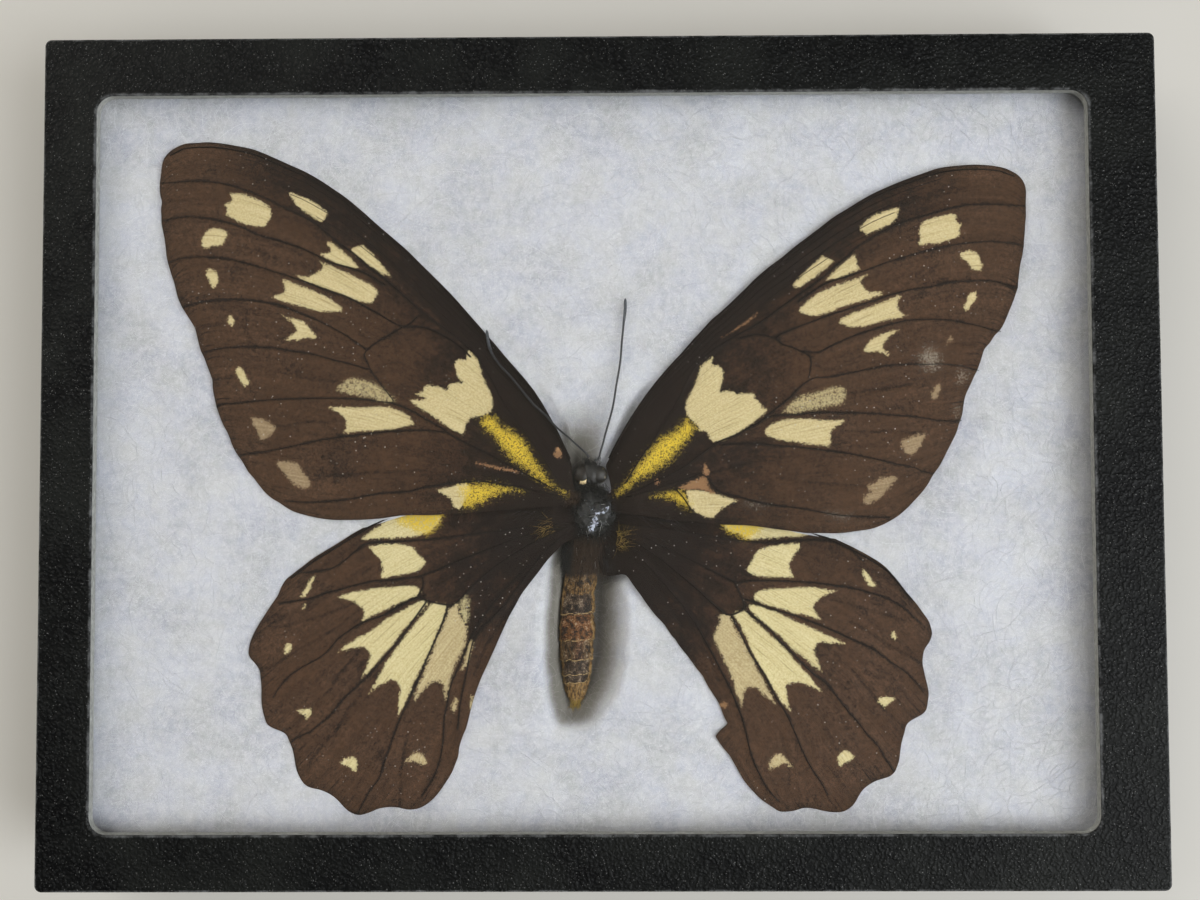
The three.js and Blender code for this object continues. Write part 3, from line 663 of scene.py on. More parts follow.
HIND_RIGHT = line("""
0 -10.4 6 -8.9 13 -8.4 21 -8.9 29 -10.3 36 -12.3 42 -14.2 43.4 -14.7 45 -15.5 47.5 -16.7 50 -18
52.4 -19.4 54.06 -20.6 55.4 -22 56.5 -23.5 57.6 -25 59 -26.6 60 -27.7 61.2 -29.4 62.15 -30.75
62.6 -31.85 62.9 -33.4 62.4 -34.96 61.6 -36.06 61.2 -37.15 61.06 -38.8 61.25 -40.3 61.6 -41.95
61.96 -43.5 62.1 -44.97 61.9 -46.3 61.6 -47.7 60.9 -48.5 60 -49.03 58.45 -49.9 57.8 -50.7 57.4
-52.1 56.9 -53.7 56.6 -55.4 56.4 -57.03 56.04 -58.1 55.4 -59.4 54.5 -60.2 52.97 -60.7 51.6 -61.2
50 -62.2 49 -63.3 48.03 -64.98 47.2 -65.9 46.1 -66.6 45.02 -66.85 43.6 -66.85 42 -66.6 41.1
-66.4 39.5 -66.08 38.1 -66.1 36.7 -66.5 35.4 -66.7 33.7 -66.7 32.4 -65.9 31 -64.98 30 -64.2 28.5
-62.65 27.1 -61 26.05 -59.2 25 -57.3 23.9 -55.4 23.03 -54.3 21.8 -52.8 22.07 -52.1 23.03 -51.1
24 -50.2 23.6 -49.4 23.03 -48 22.5 -46.6 21.7 -45.2 20.3 -43.05 19.2 -40.9 17.8 -39.2 16.45
-37.3 14.9 -35.4 14.1 -34.1 13.4 -33.4 12.06 -31.4 10.4 -29.65 9.05 -27.9 7.7 -25.95 6.3 -24.03
5.2 -22.5 4.1 -22.1 0.6 -22.2 -0.6 -17""")
OUTLINES = {"forewing_left": FORE_LEFT, "forewing_right": FORE_RIGHT,
            "hindwing_left": HIND_LEFT, "hindwing_right": HIND_RIGHT}


AT_ONCE = 4_000_000


def near_to(points, path, reach):
    """The numbers of the points (n, 2) inside a path's box, which is made larger by reach."""
    low, high = path.min(axis=0) - reach, path.max(axis=0) + reach
    return np.flatnonzero(((points > low) & (points < high)).all(axis=1))


def to_edges(points, start, end):
    """How far each point (n, 2) is from the nearest of the edges from start to end."""
    edge = end - start
    gap = points[:, None] - start
    share = np.clip((gap * edge).sum(-1) / ((edge ** 2).sum(-1) + 1e-12), 0, 1)
    return np.linalg.norm(gap - share[..., None] * edge, axis=-1).min(axis=1)


def inside_by(points, outline, reach=6.0):
    """How far each point (n, 2) lies inside a closed outline, in mm, negative outside: the
    distance to the nearest edge, with its sign from how often a ray to the right crosses it.
    Points further than reach outside the outline's box are all reach outside."""
    far = np.full(len(points), -reach)
    near = near_to(points, outline, reach)
    start, end = outline, np.roll(outline, -1, axis=0)
    edge = end - start
    rise = np.where(edge[:, 1] == 0, 1e-12, edge[:, 1])
    for some in np.array_split(near, max(1, len(near) * len(outline) // AT_ONCE)):
        distance = to_edges(points[some], start, end)
        x, y = points[some, 0, None], points[some, 1, None]
        straddles = (start[:, 1] > y) != (end[:, 1] > y)
        crossed = straddles & (x < start[:, 0] + (y - start[:, 1]) * edge[:, 0] / rise)
        inside = crossed.sum(axis=1) % 2 == 1
        far[some] = np.maximum(np.where(inside, distance, -distance), -reach)
    return far


def from_line(points, path, reach=9.0):
    """How far each point (n, 2) is from an open path, in mm, and at most reach."""
    far = np.full(len(points), reach)
    near = near_to(points, path, reach)
    for some in np.array_split(near, max(1, len(near) * len(path) // AT_ONCE)):
        far[some] = np.minimum(to_edges(points[some], path[:-1], path[1:]), reach)
    return far


SMOOTH_OUTLINES = {name: through(outline, 3, closed=True) for name, outline in OUTLINES.items()}
for name, outline in SMOOTH_OUTLINES.items():
    print(name, "spans", np.round(np.ptp(outline, axis=0), 1), "mm")

# %% [markdown]
# ## The wadding
#
# The case is filled with white fibre wadding. It carries the wings, swells round them until it
# touches the glass, and is pressed into a hollow under the body. Cloth simulation suits a skin over
# a filling, but wadding is a loose heap, so it is made in two parts. A closed surface follows the
# heap's height, which is a function of where a point is: hills everywhere, lower under the wings,
# and a hollow round the body. It also swells a little towards the tray's sides. Thousands of
# separate fibres then lie curled on that surface. In the hollow the wadding is pressed thin and its
# colour is painted dark brown: partly the dark tray showing through, partly painted shade beside
# the body. One number per point says where, for the bed and for the fibres alike.

# %% Wadding surface
WAD_HALF = (101.6, 76.6)
WAD_COUNTS = (330, 248)
WAD_TOP = 14.4
WAD_BESIDE_WING = 13.95
WAD_UNDER_WING = 13.1
WAD_BOTTOM = 1.8
BODY_MIDDLE = -1.2
# The hollow's left and right edges in mm, from front to back.
HOLLOW_Y = (14, 6, 0, -8, -16, -22, -30, -38, -44, -49, -53)
HOLLOW_LEFT = (-5.0, -5.6, -5.4, -6.2, -7.0, -7.3, -8.1, -8.3, -7.6, -6.6, -5.4)
HOLLOW_RIGHT = (3.0, 3.0, 1.8, 2.6, 4.0, 5.0, 5.3, 4.9, 3.4, 0.4, -3.6)
HOLLOW_DEPTH = (0, 1.6, 3.0, 5.0, 5.6, 5.8, 5.8, 5.4, 4.4, 2.4, 0)


def wadding_height(x, y):
    """The heap's height in mm, the top level with hills minus what the wings and the body press
    in, with how deep each place lies under a wing, and a weight for the dark colour in the
    hollow: the wadding is thin there, and painted shade lies beside the body."""
    flat = np.stack([x.ravel(), y.ravel()], axis=1)
    on_wing = np.max([inside_by(flat, o, 12.0) for o in SMOOTH_OUTLINES.values()], axis=0)
    on_wing = on_wing.reshape(x.shape)
    relief = (0.22 * hills(x, y, 23, 11) + 0.03 * hills(x, y, 6.1, 12)
              + 0.012 * hills(x, y, 2.3, 13) + 0.012 * hills(x, y, 1.1, 14))
    edge_rise = 0.45 * ease(np.maximum(np.abs(x) - 96.5, np.abs(y) - 71.5), -10.0, 0.0)
    free = WAD_TOP + relief + edge_rise
    pressed = ease(on_wing, -7, 0)
    height = free * (1 - pressed) + (WAD_BESIDE_WING + 0.3 * relief) * pressed
    height -= (WAD_BESIDE_WING - WAD_UNDER_WING) * ease(on_wing, 0.1, 3.5)
    height -= 1.7 * ease(on_wing, -2.5, 0) * (1 - ease(np.abs(x - BODY_MIDDLE), 4, 14))
    left, right, deep = (np.interp(-y, [-v for v in HOLLOW_Y], values)
                         for values in (HOLLOW_LEFT, HOLLOW_RIGHT, HOLLOW_DEPTH))
    ragged = 0.3 * hills(x, y, 3, 15) + 0.12 * hills(x, y, 1.2, 16)
    slope = np.clip((right + ragged + 0.6 - x) / 6.5, 0, 1) ** 1.25
    left = left + 0.5 * ragged
    wall = 0.3 * ease(x, left - 4.5, left) + 0.7 * ease(x, left - 0.3, left + 0.7)
    height -= deep * wall * slope
    # The weight for the hollow's dark colour: thin wadding over the dark tray, and painted shade.
    thin_and_shaded = ease(x, left - 3.8, left - 0.6) * (1 - ease(x, right - 4.6, right + 1.6))
    thin_and_shaded *= ease(deep, 0, 2.8) * (1 - 0.12 * ease(x, -4.0, 0.0))
    return height, on_wing, thin_and_shaded


def boxed(top, bottom):
    """Closes a height grid (rows, columns, 3) with walls down to a flat bottom: the grid's rim
    again, lower down, and one middle point."""
    rows, columns = top.shape[:2]
    rim = rim_of(rows, columns)
    count = len(rim)
    flat = top.reshape(-1, 3)
    levels = []
    for share in (0.5, 1.0):
        low = flat[rim].copy()
        low[:, 2] = low[:, 2] * (1 - share) + bottom * share
        levels.append(low)
    middle = np.array([[*flat.mean(axis=0)[:2], bottom]])
    chain = [rim, rows * columns + np.arange(count), rows * columns + count + np.arange(count)]
    walls = [strip(a, b) for a, b in zip(chain[:-1], chain[1:])]
    bottom_faces = fan(chain[-1], rows * columns + 2 * count)
    return np.vstack([flat, *levels, middle]), [*walls, bottom_faces]


grid_x, grid_y = np.meshgrid(np.linspace(-WAD_HALF[0], WAD_HALF[0], WAD_COUNTS[0]),
                             np.linspace(-WAD_HALF[1], WAD_HALF[1], WAD_COUNTS[1]), indexing="ij")
wad_z, wad_wing, wad_thin_and_shaded = wadding_height(grid_x, grid_y)
wad_grid = np.stack([grid_x, grid_y, wad_z], axis=-1)
wad_points, wad_sides = boxed(wad_grid, WAD_BOTTOM)
wad_top = grid_faces(*WAD_COUNTS)
thin_and_shaded = np.append(wad_thin_and_shaded.reshape(-1), np.zeros(len(wad_points) - wad_thin_and_shaded.size))
wadding = mesh_piece("wadding_bed", wad_points, [wad_top, *wad_sides], {"thin_and_shaded": thin_and_shaded})
print("wadding from", round(float(wad_z.min()), 1), "to", round(float(wad_z.max()), 1), "mm high")


def read_off(values, x, y):
    """What a grid over the wadding holds at any place, blended between its four neighbours."""
    column, row = (np.clip((at + half) / (2 * half) * (count - 1), 0, count - 1.001)
                   for at, half, count in zip((x, y), WAD_HALF, WAD_COUNTS))
    i, j = column.astype(int), row.astype(int)
    a, b = column - i, row - j
    return ((values[i, j] * (1 - a) + values[i + 1, j] * a) * (1 - b)
            + (values[i, j + 1] * (1 - a) + values[i + 1, j + 1] * a) * b)


# %% Wadding fibres
FIBRE_SETS = 3
FIBRES = 4300
FIBRE_POINTS = 8
FIBRE_SIDES = 3
FIBRE_CEILING = 15.6


def fibre_paths(count, seed):
    """Curled fibres: each walks across the wadding with a heading that turns steadily and
    wavers, and stays a hair's breadth above the surface or dips just below it."""
    dice = np.random.default_rng(seed)
    start = dice.uniform(-1, 1, (count, 2)) * (WAD_HALF[0] - 2, WAD_HALF[1] - 2)
    length = dice.uniform(3, 13, count)
    heading = dice.uniform(0, 2 * math.pi, count)
    curl = dice.normal(0, 0.9, count)
    t = np.linspace(0, 1, FIBRE_POINTS)
    angle = heading[:, None] + curl[:, None] * t + 0.5 * np.sin(
        dice.uniform(2, 7, count)[:, None] * t + heading[:, None])
    step = length[:, None] / FIBRE_POINTS
    x = start[:, :1] + np.cumsum(np.cos(angle) * step, axis=1)
    y = start[:, 1:] + np.cumsum(np.sin(angle) * step, axis=1)
    x = np.clip(x, -WAD_HALF[0] + 0.5, WAD_HALF[0] - 0.5)
    y = np.clip(y, -WAD_HALF[1] + 0.5, WAD_HALF[1] - 0.5)
    lift = dice.uniform(-0.06, 0.12, count)[:, None] * np.sin(math.pi * t) + 0.02
    lift = lift * (1 - ease(read_off(wad_wing, x, y), -1.5, 0.0))
    z = np.minimum(read_off(wad_z, x, y) + lift, FIBRE_CEILING)
    return np.stack([x, y, z], axis=-1), dice


for number in range(FIBRE_SETS):
    paths, dice = fibre_paths(FIBRES, 20 + number)
    thickness = dice.uniform(0.014, 0.030, (FIBRES, 1)) * np.ones(FIBRE_POINTS)
    thickness[:, [0, -1]] *= 0.4
    points, faces = tubes(paths, thickness, FIBRE_SIDES)
    tint = np.repeat(dice.uniform(0, 1, FIBRES), FIBRE_POINTS * FIBRE_SIDES)
    # Each fibre takes the hollow's weight: the tray through thin wadding, and painted shade.
    thin_and_shaded = np.repeat(read_off(wad_thin_and_shaded, paths[..., 0], paths[..., 1]).reshape(-1), FIBRE_SIDES)
    fibre_piece = mesh_piece(f"wadding_fibres_{number + 1}", points, faces,
                             {"tint": tint, "thin_and_shaded": thin_and_shaded})
    fibre_piece["part"] = "wadding"
    fibre_piece.visible_shadow = False

# %% [markdown]
# ## Wadding finish
#
# The fibre is bleached and slightly blue in daylight. Seen from above it isn't even: thin places
# look greyer and thick ones whiter, in soft clouds a few millimetres across, with fine threads
# running every way. The surface gets those clouds and threads as colour and relief; the fibres get
# a tint each. In the hollow both turn dark brown: partly the tray seen through the thin wadding,
# partly painted shade.

# %% Wadding finishes
wad_finish = Finish("white_wadding", Roughness=0.95, Specular_IOR_Level=0.12)
at = wad_finish.place()
cloud = wad_finish.noise(at, 85.0, 6.0, 0.66)
cast = wad_finish.noise(at, 140.0, 4.0, 0.6)
flock = wad_finish.noise(at, 620.0, 5.0, 0.75)
lint = wad_finish.noise(at, 2600.0, 3.0, 0.7)
thread_a = wad_finish.noise(wad_finish.place((1, 16, 1), 0.5), 700.0, 2.0, 0.6, 0.5)
thread_b = wad_finish.noise(wad_finish.place((16, 1, 1), 0.2), 640.0, 2.0, 0.6, 0.5)
threads = thread_a.maths("MAXIMUM", thread_a, thread_b)
cool = wad_finish.blend(cloud.step(0.34, 0.66), (0.385, 0.395, 0.465), (0.50, 0.512, 0.58))
warm = wad_finish.blend(cloud.step(0.34, 0.66), (0.395, 0.40, 0.415), (0.515, 0.517, 0.53))
soft = wad_finish.blend(cast.step(0.35, 0.65), cool, warm)
mottled = wad_finish.blend(flock.step(0.36, 0.68) * 0.6, soft, (0.61, 0.61, 0.64))
speckled = wad_finish.blend(lint.step(0.5, 0.72) * 0.6, mottled, (0.70, 0.70, 0.72))
threaded = wad_finish.blend(threads.step(0.6, 0.74) * 0.4, speckled, (0.72, 0.72, 0.75))
# Dark brown in the hollow: partly the tray through thin wadding, partly painted shade.
tray_and_shade_share = (wad_finish.number("thin_and_shaded") + (flock - 0.5) * 0.5).step(0.05, 0.95) * 0.92
wad_finish.wear(
    Base_Color=wad_finish.blend(tray_and_shade_share, threaded, (0.125, 0.115, 0.095)),
    Normal=wad_finish.bump(flock + lint * 0.4, 0.2, 0.12))
place(wadding, wad_finish.material, "wadding", "wadding")

thread_finish = Finish("loose_white_fibre", Roughness=0.6, Specular_IOR_Level=0.3)
thread_tone = thread_finish.blend(
    thread_finish.number("tint"), (0.50, 0.51, 0.55), (0.74, 0.745, 0.765))
# The fibres in the hollow turn dark too: the tray below, and painted shade.
thread_finish.wear(Base_Color=thread_finish.blend(
    thread_finish.number("thin_and_shaded").up_to(0.82), thread_tone, (0.17, 0.16, 0.135)))
for piece in [o for o in scene.objects if o.get("part") == "wadding"]:
    place(piece, thread_finish.material, "wadding")

# %% [markdown]
# ## The wings' markings
#
# Each wing is dark brown with cream patches in its outer half, a yellow flash near the base, and
# small dull spots along the margin. The patches aren't painted shapes: their edges fray into single
# scales. So every patch is kept as a closed line, and the mesh stores how deep each point lies
# inside one. The finish compares that depth with a fine grit, and the edge frays by itself.
#
# "cream" is pale and sharp, "dusted" is cream that covers only in part, "tan" is dull, "yellow" is
# the flash, "worn" is where scales are gone and reddish film shows, and "powder" is a thin grey
# dusting. Veins are dark, raised lines; folds are soft dents with painted shade along them.

# %% Left forewing markings
MARKINGS = {"forewing_left": {
    "cream": """
-70.8 51.6 -67.5 51 -65.1 50 -63.6 49 -62.9 48 -63.2 46.4 -64 45.1 -65.1 44.9 -67.5 45.2 -69.7
46.1 -71.9 47.5 -71.5 48.4 -72.1 49.4 -70.6 49.9 / -74.7 44.6 -73 44.6 -71.2 43.7 -71.7 42.7
-72.3 41.4 -74.4 41.2 -75.2 40.7 -76.2 41 -76.4 42.5 -75.8 43.7 / -75 36.9 -73.6 36.5 -73.4 35.8
-73 34.6 -73.6 33.2 -74.3 33.2 -75 34.7 -75.6 35.7 / -59.5 51.6 -57.7 51 -55.2 49.9 -53.6 48.8
-52.1 47.4 -53.3 45.8 -55.2 46.8 -56.9 48 -58.5 49.4 / -51.9 42.1 -50 40.9 -48.1 39.2 -46 36.8
-47.8 37 -50 37.5 -53.6 39.5 -51.6 40 -52.2 41.7 / -47.8 40.2 -45.6 41.3 -44.2 40.3 -42.9 39
-40.9 36.6 -39.9 35.1 -42 35.9 -44.2 37.3 -45.9 38.7 / -53.6 38.1 -51.1 37.2 -48.6 36.1 -45.6
34.6 -43.4 33.5 -42.5 32.4 -42.6 31.5 -43.4 30.2 -44.5 30 -46.4 30.5 -50.3 32 -54.9 33.7 -58.4
35.5 -56.3 35.2 -54.5 35.8 -52.9 37.2 / -60.8 34.6 -60.1 34.7 -57.7 33.7 -53.6 32 -51.1 30.6
-49.2 29 -50 28.4 -53.8 28.5 -56.6 29.3 -60.1 30.2 -62.7 31.2 -60.4 32.4 -60.4 33.2 / -61.1 27.9
-59.3 27.3 -57.1 26.8 -55.8 25.8 -54.9 24.6 -54.1 23.8 -54.9 23.1 -55.8 23.4 -57.7 23 -60.3 22.9
-59.3 23.8 -58.2 24.6 -58.4 25.8 -59.9 27.1 / -70.7 27.9 -70 27.1 -70 26.4 -70.4 25.7 -71.4 26.5
-71.2 27.5 / -69.1 18 -68.1 17.1 -67.5 16 -67 14.7 -68 14.1 -68.6 14.9 -69.2 15.8 -69.7 17.2 /
-51.9 10.1 -48.4 10.2 -45.1 10.1 -41 10.2 -39 9.7 -36.8 8.7 -35.4 6.9 -36.5 6.4 -39 5.9 -42 5.5
-45.6 5.4 -48.9 5.1 -48.4 6.5 -48.9 7.9 -50 9 / -25.1 20.9 -24.2 20.2 -23.1 18.7 -22.4 16.6
-21.7 14.5 -20.5 12.3 -20.3 10.9 -20.6 9.2 -22.8 8.1 -24.4 7.9 -25.5 6.5 -25.7 5.3 -26.2 4.7
-27.7 5.4 -29.9 6.8 -32.4 8.6 -34.9 10.1 -36.2 11.3 -33.2 11.6 -35.1 12.5 -33.8 13.1 -33.2 14.3
-31 14 -29.1 13.3 -28.8 14.3 -27.2 14.7 -26.2 14.8 -27.2 15.8 -27.7 18.3 -26.9 19.2 -25.5 19.1
-25.5 20.2 / -31.3 -5.8 -29.1 -5.3 -27.5 -4.9 -25.5 -4.5 -24.6 -5.9 -25.4 -7.6 -26.6 -9.45 -27.9
-9.1 -28.1 -8.1 -28.8 -7.3 -29.9 -6.6""",
    "yellow": """
-22.8 8.1 -20.1 8.4 -18.7 6.8 -15.1 4.6 -13.5 2.7 -11.6 -1 -10.7 -1.8 -10.06 -3.06 -9.6 -4.15
-8.5 -5.1 -7.45 -5.8 -5.5 -6.8 -6.6 -7.3 -8 -6.2 -9.6 -5.5 -11.3 -4.4 -12.9 -3.06 -14.6 -1.96
-15.8 -1 -16.5 -0.6 -18.7 1.8 -20.6 4.3 -22.3 5.9 / -27 -5 -25.5 -4.5 -22.8 -4.35 -20.1 -4.55
-17.6 -5.05 -15.7 -5.9 -14.3 -6.5 -16.5 -6.35 -18.1 -6.6 -20.1 -7.45 -21.7 -8.2 -23.4 -8.95 -25
-9.6 -26.3 -9.2 -26.6 -7""",
    "tan": """
-66.7 8.1 -65.1 8.1 -63.2 7.5 -61.9 6.2 -62.3 5.1 -64.3 3.8 -65.1 4.2 -65.6 5.5 -66.5 7 / -61.5
-0.3 -59.3 -0.2 -57.7 -0.6 -57.3 -1 -56.9 -1.55 -56.3 -2.6 -55.15 -4 -55.3 -5.1 -56.2 -5.5 -57.3
-5.4 -58.5 -4.7 -59.6 -3.5 -60.7 -2.1 -61.65 -1""",
    "dusted": """
-50.2 13.4 -48.8 15.3 -47 15.7 -45.1 15.3 -42.9 14.6 -40.2 12.6 -38.9 11.3 -40.9 10.9 -43.4 11.7
-46.4 12.2""",
    "worn": """
-23.5 -0.5 -20 -1.2 -15.7 -2.1 -15.7 -2.7 -20 -1.8 -23.5 -0.9 / -8.7 0.4 -8.3 2.3 -7.3 2.1 -7.2
0.3""",
    "veins": """
-84.2 53.4 -79.1 53.8 -75 53.7 -71.7 53.2 -68.6 52.2 -65.1 50.9 -61.5 49.1 -58.2 47.5 -54.9 45.8
-51.9 43.3 -49.7 41.4 -47.3 39.8 -44.5 37.3 -41 34.6 -33.8 28.2 -28 23.8 -23.8 20.4 -21 15.8
-18.6 11.2 -15.2 6.4 -11.2 1 -8 -4 / -84 46.1 -79.6 46.9 -75.8 46.6 -71.9 45.9 -68.6 44.8 -65.1
43.2 -61.2 42.1 -57.7 40.9 -54.4 39.4 -51.6 38 -48.4 37 -45.1 35.9 -41 33.5 / -82.6 38 -80.2
38.9 -76 39.1 -71.4 38.7 -68.1 37.9 -64.8 37 -61.5 35.9 -58.2 34.8 -54.9 33.6 -51.1 32.2 -47.8
31 -43 28.4 -37.6 25.4 -34.9 27.3 / -79.9 29.3 -76.3 30.4 -72.5 30.8 -68.6 30.8 -64.8 30.4 -61.2
29.7 -57.9 28.4 -54.9 27.2 -51.6 25.6 -48.4 23.8 -44.5 21 / -75.9 20.6 -73 21.4 -68.6 21.7 -63.4
21.6 -59.3 21 -54.9 20.3 -51.1 19.2 -47.5 18.3 -44.2 17.3 / -73.3 10.2 -71.9 10.7 -67.5 11.1
-63.4 11.5 -59.3 11.7 -54.9 11.8 -50 11.8 -45.6 11.6 -41 11 -39.3 10.9 / -68.9 0.7 -68.1 1 -63.4
1.7 -59.3 2.5 -54.9 3.5 -50 4.3 -45.6 4.8 -41 5.3 -34.5 5.6 -29.5 5.2 / -60 -7.8 -55 -8.1 -50
-7.7 -47 -7.4 -44.8 -6.9 -41 -6.35 -36.5 -6.1 -33.8 -5.4 -31 -5 -28.3 -4.5 -25.5 -4.3 -22.8 -4.2
-17 -5 -11 -6.2 -7 -7.2 / -37.6 25.4 -44.5 21 -44.2 18.3 -43.4 16.6 -41.8 14.5 -39.3 11.2 / -41
11 -39 10.6 -35.7 9.2 -33 7.6 -29.9 5.9 -28.3 4.6 -25 2.9 -22.3 1.6 -18.7 -0.4 -14 -2.9 -8.5
-5.9 / -37.6 25.4 -33 25.2 -28 22.6 -24.6 19.6""",
    "folds": """
-79.1 50.2 -81.3 50.1 -84 49.8 / -71.9 26.3 -77.3 25.6 / -70.3 16 -74 15.5 / -17.2 -4.3 -12 -6.8
/ -47 44 -38 36 -28 24.6 -18 12.2 -10 1.5 / -58 16 -50 14.8 -44 14 / -64 6 -56 7.2 -48 7.6 / -30
-1 -22 -2.2 -14 -4.6 / -52 -3 -42 -2.4 -34 -2.2"""}}

